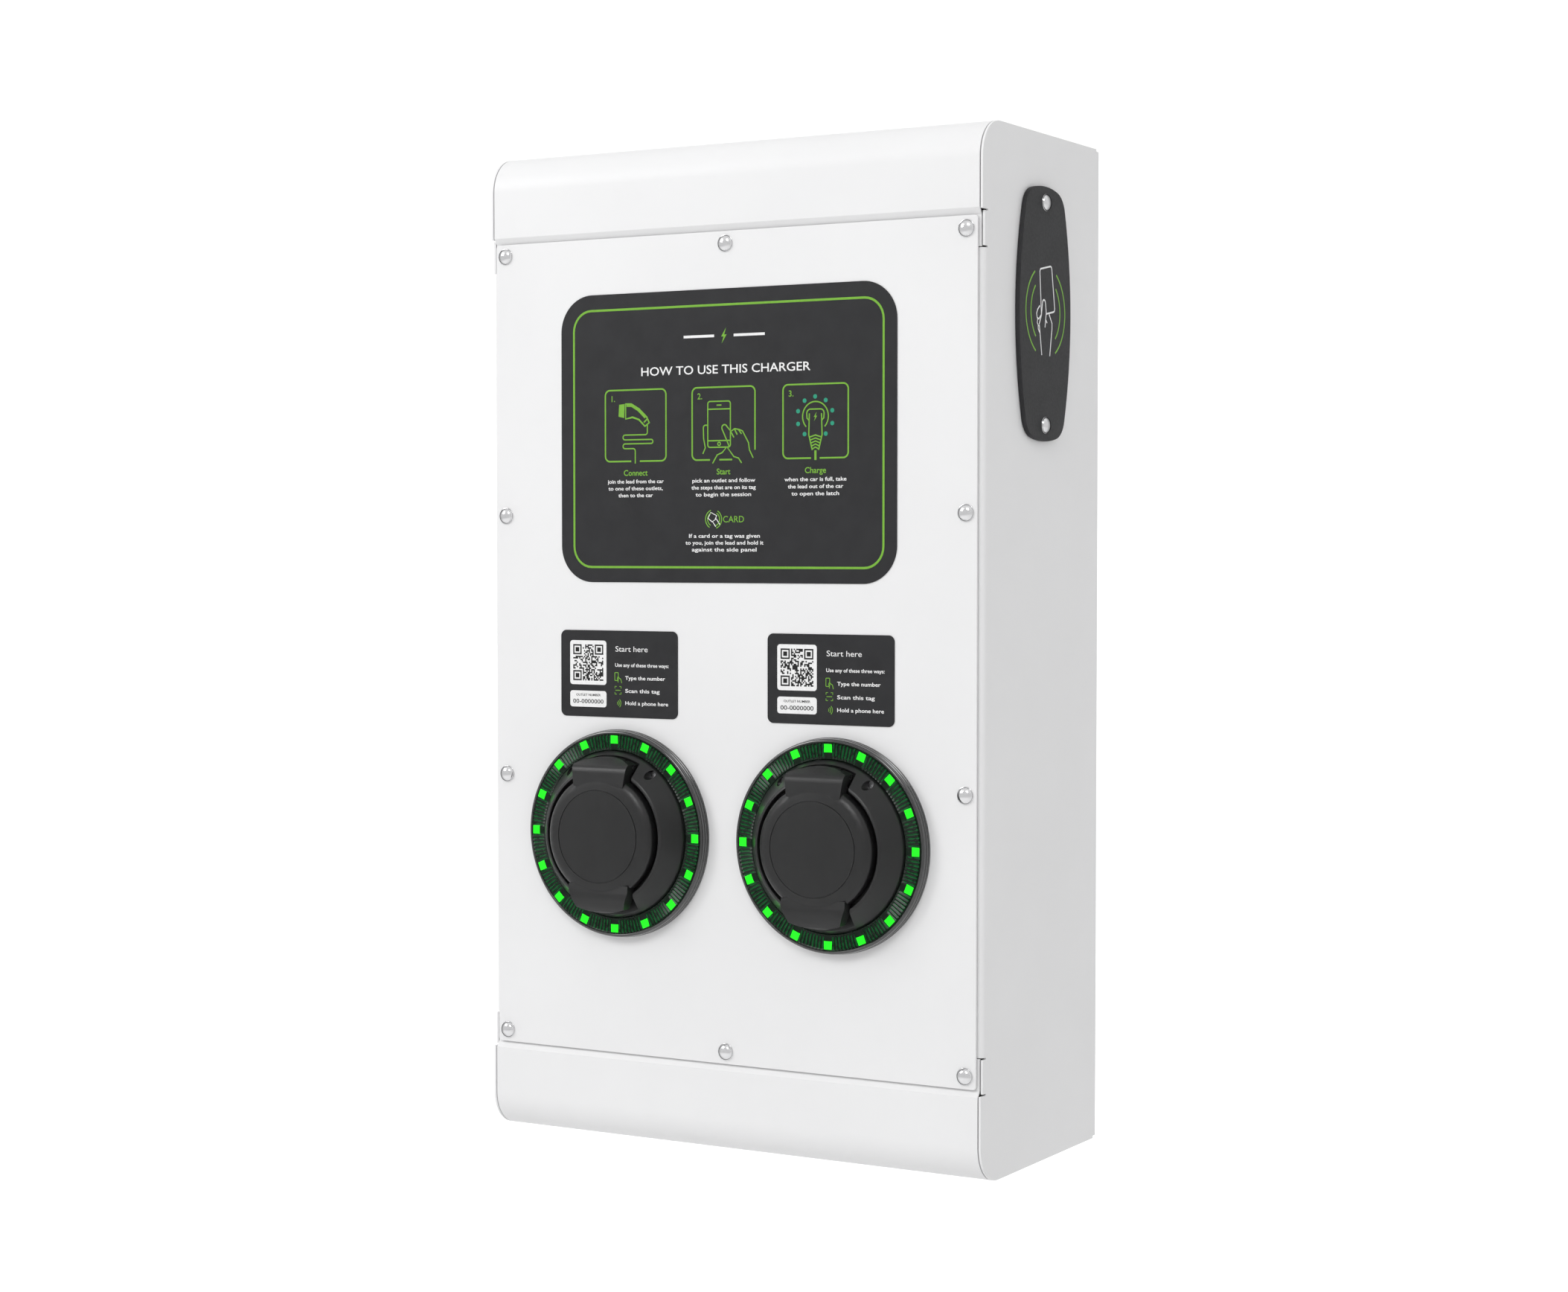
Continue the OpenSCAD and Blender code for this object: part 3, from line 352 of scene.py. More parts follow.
def finishes_by_slot():
    """The maker of each of the record's material slots."""
    black = tuple(settings().socket.moulding)
    return {
        "white_powder_coat": powder_coat,
        "galvanised_sheet": zinc_sheet,
        "gasket_foam": foam,
        "polished_screws": steel_with_painted_reflection,
        "printed_label": label_film,
        "reader_plastic": lambda: moulded("reader_plastic", (0.027, 0.027, 0.029), 0.55, 0.3, 0.015,
                                          Specular_IOR_Level=0.25),
        "circuit_board": circuit_board,
        "bezel_gloss_black": lambda: moulded("bezel_gloss_black", (0.006, 0.006, 0.0065), 0.1, 0.8,
                                             0.002, Specular_IOR_Level=0.9, Coat_Weight=0.8,
                                             Coat_Roughness=0.03),
        "led_green": lit_square,
        "lens_smoked": smoked_lens_with_painted_glow,
        "cowl_plastic": lambda: moulded("cowl_plastic", black, 0.36, 0.28, 0.015),
        "insert_plastic": lambda: moulded("insert_plastic", (0.016, 0.016, 0.017), 0.3, 0.5, 0.01),
        "contact_brass": lambda: turned_metal("contact_brass", (0.83, 0.66, 0.34), 0.22),
        "pin_steel": lambda: turned_metal("pin_steel", (0.62, 0.62, 0.63), 0.3),
        "seal_rubber": lambda: moulded("seal_rubber", (0.013, 0.013, 0.013), 0.75, 0.4, 0.03),
        "actuator_plastic": lambda: moulded("actuator_plastic", (0.09, 0.1, 0.11), 0.5),
        "device_plastic": lambda: moulded("device_plastic", (0.7, 0.7, 0.69), 0.45),
        "lever_plastic": lambda: moulded("lever_plastic", (0.03, 0.03, 0.035), 0.35),
        "test_button_plastic": lambda: moulded("test_button_plastic", (0.05, 0.13, 0.5), 0.3),
        "supply_case": perforated_case,
        "terminal_plastic": lambda: moulded("terminal_plastic", (0.33, 0.35, 0.37), 0.5),
        "gland_nylon": lambda: moulded("gland_nylon", (0.07, 0.07, 0.075), 0.42, 0.4, 0.02),
        "wire_insulation": lambda: moulded("wire_insulation", (0.6, 0.16, 0.02), 0.35, 1.5),
    }


def finish(slot_name):
    """The material of a slot, made when it is first asked for."""
    made = finishes_by_slot()[slot_name]
    known = bpy.data.materials.get("slot_" + slot_name)
    if known is None:
        known = made().material
        known.name = "slot_" + slot_name
    return known


def ink_material(name):
    known = bpy.data.materials.get(name)
    if known is None:
        shades = {"green_ink": settings().prints.green, "teal_ink": settings().prints.teal,
                  "white_ink": settings().prints.white, "black_ink": (0.012, 0.012, 0.012)}
        known = ink(name, tuple(shades[name])).material
    return known


# ---------------------------------------------------------------- making pieces


def at_socket(side):
    """Local millimetres of a socket, x right, y up and z out of the panel, to the frame."""
    low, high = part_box("led_bezel_" + side)
    foot = Vector(((low.x + high.x) / 2, high.y, (low.z + high.z) / 2))
    return Matrix.Translation(foot) @ FRONT @ Matrix.Scale(MM, 4)


def on_label(node):
    """Local millimetres of a label, with z = 0 on its printed face, to the frame."""
    low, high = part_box(node)
    face = Vector(((low.x + high.x) / 2, low.y, (low.z + high.z) / 2))
    return Matrix.Translation(face) @ FRONT @ Matrix.Scale(MM, 4)


def on_reader():
    low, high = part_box("reader_plate")
    face = Vector((high.x, (low.y + high.y) / 2, (low.z + high.z) / 2))
    return Matrix.Translation(face) @ RIGHT @ Matrix.Scale(MM, 4)


def piece(name, bm, material, body, stands_for=(), place=None, smooth=35):
    """Turns a bmesh into a finished piece that rides on a body."""
    if place is not None:
        bm.transform(place)
    mesh = bpy.data.meshes.new(name)
    bm.to_mesh(mesh)
    bm.free()
    mesh.shade_smooth()
    mesh.set_sharp_from_angle(angle=radians(smooth))
    mesh.materials.append(material)
    made = bpy.data.objects.new(name, mesh)
    bpy.context.scene.collection.objects.link(made)
    made.modifiers.new("flat_faces", "WEIGHTED_NORMAL").keep_sharp = True
    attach(made, body)
    if stands_for:
        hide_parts(*stands_for)
    return made


def spun(profile, steps=128, closed=True):
    """A round body from points (radius, height) in order."""
    bm = bmesh.new()
    points = [bm.verts.new((r, 0, z)) for r, z in profile]
    edges = [bm.edges.new(pair) for pair in zip(points, points[1:])]
    if closed:
        edges.append(bm.edges.new((points[-1], points[0])))
    bmesh.ops.spin(bm, geom=points + edges, cent=(0, 0, 0), axis=(0, 0, 1), angle=tau,
                   steps=steps, use_merge=True)
    bmesh.ops.remove_doubles(bm, verts=bm.verts[:], dist=1e-4)
    bmesh.ops.recalc_face_normals(bm, faces=bm.faces[:])
    return bm


def slab(bm, outline, low, high):
    """Adds a flat plate of the given outline between two heights."""
    face = bm.faces.new([bm.verts.new((x, y, low)) for x, y in outline])
    grown = bmesh.ops.extrude_face_region(bm, geom=[face])["geom"]
    top = [item for item in grown if isinstance(item, bmesh.types.BMVert)]
    bmesh.ops.translate(bm, verts=top, vec=(0, 0, high - low))
    return top


def block(bm, low, high, turn=0.0):
    """Adds a box between two corners, turned about its own middle."""
    low, high = Vector(low), Vector(high)
    middle = Matrix.Translation((low + high) / 2) @ Matrix.Rotation(turn, 4, "Z")
    return bmesh.ops.create_cube(bm, size=1, matrix=middle @ Matrix.Diagonal((*(high - low), 1)))


def eased(bm, width, segments=2, angle=30):
    """Rounds the edges that are sharper than an angle."""
    limit = radians(angle)
    sharp = [e for e in bm.edges if e.is_manifold and e.calc_face_angle(0) > limit]
    bmesh.ops.bevel(bm, geom=sharp, offset=width, offset_type="OFFSET", segments=segments,
                    profile=0.5, affect="EDGES", clamp_overlap=True, material=-1)
    return bm


def merged_copy(node, flat=1.0):
    """A copy of a CAD node's mesh with its triangles joined into whole faces."""
    bm = bmesh.new()
    bm.from_mesh(frame["nodes"][node].data)
    bmesh.ops.remove_doubles(bm, verts=bm.verts[:], dist=2e-6)
    bmesh.ops.dissolve_limit(bm, angle_limit=radians(flat), verts=bm.verts[:], edges=bm.edges[:])
    return bm


def islands(node):
    """The boxes of a node's separate bodies."""
    bm = merged_copy(node)
    left = set(bm.verts)
    boxes = []
    while left:
        group, edge = [], [left.pop()]
        while edge:
            vert = edge.pop()
            group.append(vert.co.copy())
            near = {e.other_vert(vert) for e in vert.link_edges} & left
            left -= near
            edge += near
        boxes.append(tuple(Vector(pick(part) for part in zip(*group)) for pick in (min, max)))
    bm.free()
    return boxes


def slot_of(node):
    return next(s["material_slot"] for s in frame["record"]["subparts"] if s["node"] == node)


def body_of(node):
    return next(b for b, members in frame["record"]["behaviour"]["bodies"].items() if node in members)


def refined(name, node, ease, segments=2, smooth=35):
    """A piece that stands for a CAD node, with its edges eased by a width in metres."""
    bm = eased(merged_copy(node), ease, segments)
    return piece(name, bm, finish(slot_of(node)), body_of(node), (node,), smooth=smooth)


def arc(x, y, radius, start, end, steps=10):
    """Points of an arc, with its angles in degrees."""
    turns = [radians(start + (end - start) * i / steps) for i in range(steps + 1)]
    return [(x + radius * cos(a), y + radius * sin(a)) for a in turns]


def rounded(w, h, r, x=0.0, y=0.0, steps=8):
    """The outline of a rectangle with round corners, anticlockwise from its lower right corner."""
    points = []
    for sx, sy, start in ((1, -1, -90), (1, 1, 0), (-1, 1, 90), (-1, -1, 180)):
        points += arc(x + sx * (w / 2 - r), y + sy * (h / 2 - r), r, start, start + 90, steps)
    return points


class Print:
    """Flat print in one ink, in a label's own millimetres."""

    def __init__(self, ink_name):
        self.ink_name = ink_name
        self.height = settings().prints.ink / MM
        self.fine = settings().prints.line / MM
        self.bm = bmesh.new()

    def fill(self, outline, level=0):
        slab(self.bm, outline, level * self.height, (level + 1) * self.height)

    def bar(self, x, y, w, h, level=0, turn=0.0):
        block(self.bm, (x - w / 2, y - h / 2, level * self.height),
              (x + w / 2, y + h / 2, (level + 1) * self.height), turn)

    def line(self, points, width=None, closed=False):
        """A drawn line: a round tube along the points, pressed flat onto the film."""
        curve = bpy.data.curves.new("line", "CURVE")
        curve.dimensions = "3D"
        curve.bevel_depth = (width or self.fine) / 2
        curve.bevel_resolution = 1
        curve.use_fill_caps = True
        spline = curve.splines.new("POLY")
        spline.points.add(len(points) - 1)
        for point, (x, y) in zip(spline.points, points):
            point.co = (x, y, 0, 1)
        spline.use_cyclic_u = closed
        self.take(curve, 2 * self.height / curve.bevel_depth)

    def words(self, text, x, y, cap_height, width=None, bold=0.0, left=False, level=0):
        """Generic words of a cap height, centred on y and stretched to a width if it is given."""
        curve = bpy.data.curves.new("words", "FONT")
        curve.body = text
        curve.align_x = "LEFT" if left else "CENTER"
        curve.size = cap_height / CAP_SHARE
        curve.resolution_u = 3
        curve.offset = bold
        curve.extrude = self.height / 2
        self.take(curve, 1, Vector((x, y - cap_height / 2, (level + 0.5) * self.height)), width)

    def take(self, curve, flatten, shift=Vector(), width=None):
        """Adds a curve's mesh to the print and removes the curve."""
        drawn = bpy.data.objects.new("drawn", curve)
        bpy.context.scene.collection.objects.link(drawn)
        graph = bpy.context.evaluated_depsgraph_get()
        mesh = bpy.data.meshes.new_from_object(drawn.evaluated_get(graph))
        stretch = 1
        if width:
            across = [vert.co.x for vert in mesh.vertices]
            stretch = width / (max(across) - min(across))
        mesh.transform(Matrix.Translation(shift) @ Matrix.Diagonal((stretch, 1, flatten, 1)))
        self.bm.from_mesh(mesh)
        bpy.data.objects.remove(drawn)
        bpy.data.curves.remove(curve)
        bpy.data.meshes.remove(mesh)

    def lay(self, name, place, slot_name="printed_label"):
        bmesh.ops.remove_doubles(self.bm, verts=self.bm.verts[:], dist=1e-5)
        bmesh.ops.recalc_face_normals(self.bm, faces=self.bm.faces[:])
        return piece(name, self.bm, ink_material(self.ink_name), "housing", place=place)


# ---------------------------------------------------------------- operators


class PieceOperator(bpy.types.Operator):
    bl_options = {"REGISTER", "UNDO"}


class UNIT_OT_stage(PieceOperator):
    """Adds the camera, the floor and the studio light"""

    bl_idname = "unit.stage"
    bl_label = "Stage"

    def execute(self, context):
        own = settings().stage
        context.scene.view_settings.view_transform = "Standard"
        self.camera(context, own)
        self.floor(own)
        self.sky(context, own)
        self.softbox("key_light", (0.7, -2.8, 2.2), (0, -0.1, 0), 1.2, 27)
        self.softbox("fill_light", (-2.2, -2.2, 1.5), (0, -0.1, 0), 1.2, 25)
        self.softbox("backdrop_light", (-1.2, 1.6, 2.8), (-4.5, 8.0, 0.6), 2.0, 235)
        return {"FINISHED"}

    def camera(self, context, own):
        data = bpy.data.cameras.new("camera")
        data.lens = own.lens
        data.sensor_width = 36
        data.sensor_fit = "HORIZONTAL"
        camera = bpy.data.objects.new("camera", data)
        camera.location = own.place
        camera.rotation_euler = own.turn
        context.scene.collection.objects.link(camera)
        context.scene.camera = camera

    def floor(self, own):
        """A round floor that curves up into a backdrop far behind the unit."""
        low = CAD_BOX[0][2] - own.floor_gap
        flat, bend, height = 6.0, 3.0, 7.0
        profile = [(0, low), (flat, low)] + [(r, z + low) for r, z in arc(flat, bend, bend, -90, 0, 16)]
        profile.append((flat + bend, low + height))
        bm = spun(profile, 64, closed=False)
        bmesh.ops.reverse_faces(bm, faces=bm.faces[:])
        mesh = bpy.data.meshes.new("floor")
        bm.to_mesh(mesh)
        bm.free()
        mesh.shade_smooth()
        f = Finish("floor_paint", Roughness=0.85)
        f.use("Base Color", f.blend(f.noise(0.6), (0.87, 0.87, 0.87), (0.89, 0.89, 0.89)))
        mesh.materials.append(f.material)
        floor = bpy.data.objects.new("floor", mesh)
        bpy.context.scene.collection.objects.link(floor)

    def sky(self, context, own):
        world = bpy.data.worlds.new("studio")
        world.use_nodes = True
        shader = world.node_tree.nodes["Background"]
        shader.inputs["Color"].default_value = (1, 1, 1, 1)
        shader.inputs["Strength"].default_value = own.sky
        context.scene.world = world

    def softbox(self, name, place, target, size, watts):
        data = bpy.data.lights.new(name, "AREA")
        data.shape = "SQUARE"
        data.size = size
        data.energy = watts
        light = bpy.data.objects.new(name, data)
        light.location = place
        light.rotation_euler = (Vector(target) - Vector(place)).to_track_quat("-Z", "Y").to_euler()
        bpy.context.scene.collection.objects.link(light)


class UNIT_OT_housing(PieceOperator):
    """Coats the folded side plates, the caps, the front panel and the wall plate"""

    bl_idname = "unit.housing"
    bl_label = "Housing"

    def execute(self, context):
        ease = settings().housing.edge_ease
        for side in SIDES:
            refined("coated_side_" + side, "side_plate_" + side, ease)
        for node in ("top_cap", "bottom_cap", "front_panel"):
            refined("coated_" + node, node, ease)
        refined("zinc_back_plate", "back_plate", ease)
        return {"FINISHED"}


class UNIT_OT_fasteners(PieceOperator):
    """Makes the button-head screws of the panel and the card reader"""

    bl_idname = "unit.fasteners"
    bl_label = "Screws"

    def execute(self, context):
        for node, axis in (("panel_screws", FRONT), ("reader_screws", RIGHT)):
            bm = bmesh.new()
            for low, high in islands(node):
                self.button(bm, low, high, axis)
            piece("polished_" + node, bm, finish(slot_of(node)), "housing", (node,),
                  smooth=50)
        return {"FINISHED"}

    def button(self, bm, low, high, axis):
        """A domed head over a thin rim, with a shank that ends in a chamfer."""
        out = (axis @ Vector((0, 0, 1))).normalized()
        reach = abs((high - low).dot(out)) / MM
        across = abs((high - low).dot(axis @ Vector((1, 0, 0)))) / MM
        head, rim, rise = across / 2, 0.6, across * 0.31
        shank = head * 0.55
        dome = [(head * 0.93 * cos(a), rim + (rise - rim) * sin(a))
                for a in (radians(90 - 7.5 * k) for k in range(13))]
        profile = dome + [(head - 0.1, rim), (head, rim - 0.1), (head, 0.1), (head - 0.1, 0), (shank, 0),
                          (shank, rise - reach + 0.7), (shank - 0.7, rise - reach), (0, rise - reach)]
        middle = (low + high) / 2
        foot = middle + out * (reach / 2 - rise) * MM
        one = spun(profile, 48, closed=False)
        one.transform(Matrix.Translation(foot) @ axis @ Matrix.Scale(MM, 4))
        mesh = bpy.data.meshes.new("button")
        one.to_mesh(mesh)
        one.free()
        bm.from_mesh(mesh)
        bpy.data.meshes.remove(mesh)


class UNIT_OT_instruction_label(PieceOperator):
    """Makes the large label with its border, three step icons and lines of print"""

    bl_idname = "unit.instruction_label"
    bl_label = "Instruction label"

    box_w = 45.0
    box_h = 44.4
    box_y = 7.7
    box_x = (-64.2, -0.1, 64.6)
    steps = (
        ("Connect", (("join the lead from the car", 41.6), ("to one of these outlets,", 40.3),
                     ("then to the car", 25.6))),
        ("Start", (("pick an outlet and follow", 45.1), ("the steps that are on its tag", 46.1),
                   ("to begin the session", 39.8))),
        ("Charge", (("when the car is full, take", 42.8), ("the lead out of the car", 38.3),
                    ("to open the latch", 32.9))),
    )
    knuckles = ((5.2, -5.0, 7.5, -8.8), (8.0, -3.8, 9.9, -7.1), (10.9, -4.2, 12.9, -6.7))
    card_rows = (("If a card or a tag was given", 50.8), ("to you, join the lead and hold it", 55.9),
                 ("against the side panel", 46.4))

    def execute(self, context):
        own = settings().prints
        place = on_label("instruction_label")
        refined("instruction_film", "instruction_label", 0.0002)
        green, white, teal = Print("green_ink"), Print("white_ink"), Print("teal_ink")
        green.line(rounded(221.3, 160.6, 13, 0.3, -0.2), own.border / MM, closed=True)
        self.emblem(green, white)
        white.words("HOW TO USE THIS CHARGER", 0.3, 40.9, 5.2, 121, 0.05)
        for number, (x, (title, rows)) in enumerate(zip(self.box_x, self.steps), start=1):
            green.words(f"{number}.", x - 16.9, self.box_y + 16.9, 3.6, bold=0.04)
            green.words(title, x, -21.7, 3.5, bold=0.06)
            for row, (text, width) in enumerate(rows):
                white.words(text, x, -27.1 - 4.3 * row, 2.3, width, 0.05)
        self.plug_icon(green, self.box_x[0])
        self.phone_icon(green, self.box_x[1])
        self.charging_icon(green, teal, self.box_x[2])
        self.card_icon(green, white)
        for row, (text, width) in enumerate(self.card_rows):
            white.words(text, 0.4, -61.1 - 4.2 * row, 2.3, width, 0.05)
        green.lay("instruction_print_green", place)
        white.lay("instruction_print_white", place)
        teal.lay("instruction_print_teal", place)
        return {"FINISHED"}

    def emblem(self, green, white):
        """A plain bolt between two bars at the head of the label."""
        bolt(green, 0.3, 61.3, 9.5)
        for side in (-1, 1):
            white.bar(0.3 + side * 18, 61.3, 22, 1.6)

    def frame_line(self, pen, x, gap):
        """The outline of a step's box, open over a gap in its lower side."""
        w, h = self.box_w, self.box_h
        outline = rounded(w, h, 3.4, x, self.box_y)
        low = self.box_y - h / 2
        pen.line([(x + gap, low)] + outline + [(x - gap, low)], 1.0)

    def plug_icon(self, pen, x):
        self.frame_line(pen, x, 3.2)
        y = self.box_y
        pen.fill([(x - 12.6, y + 5.8), (x - 8.4, y + 4.9), (x - 8.0, y + 13.6), (x - 12.1, y + 13.2)])
        pen.line([(x - 7.3, y + 4.2), (x - 7.3, y + 13.6), (x - 3.2, y + 13.4), (x + 2.6, y + 10.2),
                  (x + 8.2, y + 5.2), (x + 10.2, y + 1.6), (x + 7.0, y - 0.6), (x + 2.6, y + 3.6),
                  (x - 2.2, y + 5.2)], 1.1, closed=True)
        pen.line([(x - 6.6, y + 12.6), (x - 2.8, y + 12.4), (x + 2.2, y + 9.6), (x + 7.4, y + 4.8)], 1.6)
        pen.line([(x + 6.2, y + 1.8), (x + 8.8, y + 4.0)], 0.9)
        route = [(x + 8.8, y + 0.6)] + arc(x + 7.3, y - 4.3, 1.5, 0, -90, 4)
        route += arc(x - 7.8, y - 7.3, 1.5, 90, 270, 8) + arc(x + 11.6, y - 10.05, 1.25, 90, -90, 8)
        route += arc(x - 7.8, y - 12.8, 1.5, 90, 270, 8) + arc(x - 1.7, y - 15.8, 1.5, 90, 0, 4)
        pen.line(route + [(x - 0.2, y - 23.6)])

    def phone_icon(self, pen, x):
        y = self.box_y
        low = y - self.box_h / 2
        outline = rounded(self.box_w, self.box_h, 3.4, x, y)
        upper = [p for p in outline if p[1] > y or p[0] < x]
        pen.line([(x + self.box_w / 2, y - 16.5)] + upper + [(x - 9.6, low)], 1.0)
        pen.line([(x - 2.9, low), (x + 6.3, low)], 1.0)
        pen.line(rounded(16.2, 28.1, 1.6, x - 3.1, y - 0.5), closed=True)
        for height in (8.8, -10.5):
            pen.line([(x - 11.0, y + height), (x + 4.8, y + height)])
        pen.line([(x - 4.8, y + 11.2), (x - 1.4, y + 11.2)])
        pen.line(arc(x - 3.1, y - 12.5, 1.0, 0, 330, 11), 0.7, closed=True)
        pen.line([(x - 11.2, y - 0.9)] + arc(x - 12.9, y - 2.4, 1.5, 90, 180, 4)
                 + [(x - 14.2, y - 9), (x - 13.0, y - 14.8), (x - 14.8, y - 18.4)])
        pen.line([(x + 4.1, y - 14.0)] + arc(x + 0.8, y - 2.7, 1.9, 200, 20, 8)
                 + [(x + 5.4, y - 5.0), (x + 8.0, y - 3.4), (x + 11.2, y - 4.0), (x + 13.6, y - 4.9),
                    (x + 17.9, y - 12.1), (x + 18.6, y - 16.6), (x + 21.2, y - 21.4)])
        for left, high, right, low in self.knuckles:
            pen.line([(x + left, y + high), (x + right, y + low)])
        pen.line([(x - 7.8, y - 24.4), (x - 4.4, y - 19.2), (x - 0.9, y - 17.9), (x + 2.5, y - 14.4),
                  (x + 7.4, y - 20.4), (x + 10.8, y - 21.4), (x + 13.0, y - 24.4)])

    def charging_icon(self, pen, dots, x):
        self.frame_line(pen, x, 3.0)
        y = self.box_y
        pen.line(arc(x, y + 2.8, 8.9, -44, 224, 24))
        for k in range(10):
            if k != 5:
                turn = radians(90 + 36 * k)
                dots.fill(arc(x - 0.2 + 12.4 * cos(turn), y + 2.3 + 12.4 * sin(turn), 1.35, 0, 337.5, 15))
        pen.line([(x - 4.4, y + 0.4), (x - 5.8, y + 1.8)] + arc(x - 3.4, y + 4.6, 2.6, 180, 100, 4)
                 + arc(x + 3.4, y + 4.6, 2.6, 80, 0, 4) + [(x + 5.8, y + 1.8), (x + 4.4, y + 0.4)])
        for side in (-1, 1):
            pen.line([(x + side * 4.2, y + 4.6), (x + side * 4.6, y - 8.2), (x + side * 2.2, y - 17.4)])
        for k in range(5):
            half = 4.0 - 0.45 * k
            pen.line([(x - half, y - 9.6 - 1.8 * k), (x, y - 8.4 - 1.8 * k), (x + half, y - 9.6 - 1.8 * k)])
        pen.line([(x, y - 17.6), (x, y - 23.4)], 1.5)
        bolt(pen, x, y + 2.8, 5.6)

    def card_icon(self, green, white):
        x, y = -7.2, -50.9
        for radius in (4.3, 5.8):
            for start in (-70, 110):
                green.line(arc(x, y, radius, start, start + 130, 10), 0.6)
        white.line([(x - 1.0, y - 1.6), (x - 4.0, y + 0.6), (x - 2.0, y + 4.2), (x + 2.2, y + 2.2),
                    (x + 1.0, y - 0.4)], 0.6)
        white.line([(x + 4.6, y - 3.4), (x + 2.0, y + 0.2), (x - 0.8, y - 1.4), (x + 1.6, y - 4.6)], 0.6)
        green.words("CARD", 7.1, y, 3.9)


def bolt(pen, x, y, h):
    """A filled lightning bolt of height h."""
    half = [(0.16, 0.5), (-0.2, -0.06), (-0.02, -0.06)]
    outline = half + [(-px, -py) for px, py in half]
    pen.fill([(x + px * h, y + py * h) for px, py in outline])


class UNIT_OT_info_tags(PieceOperator):
    """Makes the two small labels over the sockets, with a made-up code panel"""

    bl_idname = "unit.info_tags"
    bl_label = "Information tags"

    panel_x = -22.95
    panel_w = 27.5
    modules = 25
    dark_share = 0.52
    rows = ((-2.3, 29.6, "Type the number"), (-10.4, 25.6, "Scan this tag"),
            (-18.1, 31.8, "Hold a phone here"))

    def execute(self, context):
        for index, side in enumerate(SIDES):
            node = "info_tag_" + side
            place = on_label(node)
            chance = random.Random(settings().prints.seed + index + 1)
            refined("tag_film_" + side, node, 0.0002)
            green, white, black = Print("green_ink"), Print("white_ink"), Print("black_ink")
            self.panels(white, black, chance)
            self.directions(white, green)
            green.lay("tag_print_green_" + side, place)
            white.lay("tag_print_white_" + side, place)
            black.lay("tag_print_black_" + side, place)
        return {"FINISHED"}

    def panels(self, white, black, chance):
        """The white panels, a seeded pattern that codes nothing, and a number."""
        x = self.panel_x
        white.fill(rounded(self.panel_w, 27.9, 2, x, 6.85))
        white.fill(rounded(self.panel_w, 10.2, 1.8, x, -16.1))
        cell = 22.8 / self.modules
        corner = (x - 11.4, 6.85 - 11.4)
        last = self.modules - 1
        for row in range(self.modules):
            run = 0
            for column in range(self.modules + 1):
                corner_square = (column < 8 and (row < 8 or row > last - 8)
                                 or column > last - 8 and row > last - 8)
                dark = column <= last and not corner_square and chance.random() < self.dark_share
                if dark:
                    run += 1
                elif run:
                    black.bar(corner[0] + (column - run / 2) * cell, corner[1] + (row + 0.5) * cell,
                              run * cell, cell, 1)
                    run = 0
        for cx, cy in ((3.5, 3.5), (3.5, last - 2.5), (last - 2.5, last - 2.5)):
            middle = (corner[0] + cx * cell, corner[1] + cy * cell)
            black.bar(*middle, 3 * cell, 3 * cell, 1)
            for dx, dy, w, h in ((0, 3, 7, 1), (0, -3, 7, 1), (3, 0, 1, 5), (-3, 0, 1, 5)):
                black.bar(middle[0] + dx * cell, middle[1] + dy * cell, w * cell, h * cell, 1)
        black.words("OUTLET NUMBER", x, -13.6, 1.4, 18.5, 0.02, level=1)
        black.words("00-0000000", x, -17.6, 2.6, 23, 0.03, level=1)

    def directions(self, white, green):
        """A plain heading and three rows, each with its icon."""
        white.words("Start here", -2.6, 15.8, 3.4, 24.0, left=True)
        white.words("Use any of these three ways:", 17.2, 5.7, 2.2, 39.8, 0.05)
        for y, width, text in self.rows:
            white.words(text, 4.8 + width / 2, y, 2.3, width, 0.05)
        green.line(rounded(2.6, 5.0, 0.4, -1.6, -1.6), 0.45, closed=True)
        green.line([(-0.4, -5.2), (-1.0, -2.6), (-0.4, -1.2), (0.2, -2.4), (1.6, -3.2), (2.2, -5.6)], 0.5)
        for sx in (-1, 1):
            for sy in (-1, 1):
                green.line([(-0.5 + sx * 1.0, -10.2 + sy * 2.4), (-0.5 + sx * 2.3, -10.2 + sy * 2.4),
                            (-0.5 + sx * 2.3, -10.2 + sy * 1.2)], 0.45)
        green.line([(-2.4, -10.2), (1.4, -10.2)], 0.45)
        for radius in (1.2, 2.4, 3.6):
            green.line(arc(-2.0, -18.3, radius, -42, 42, 6), 0.45)


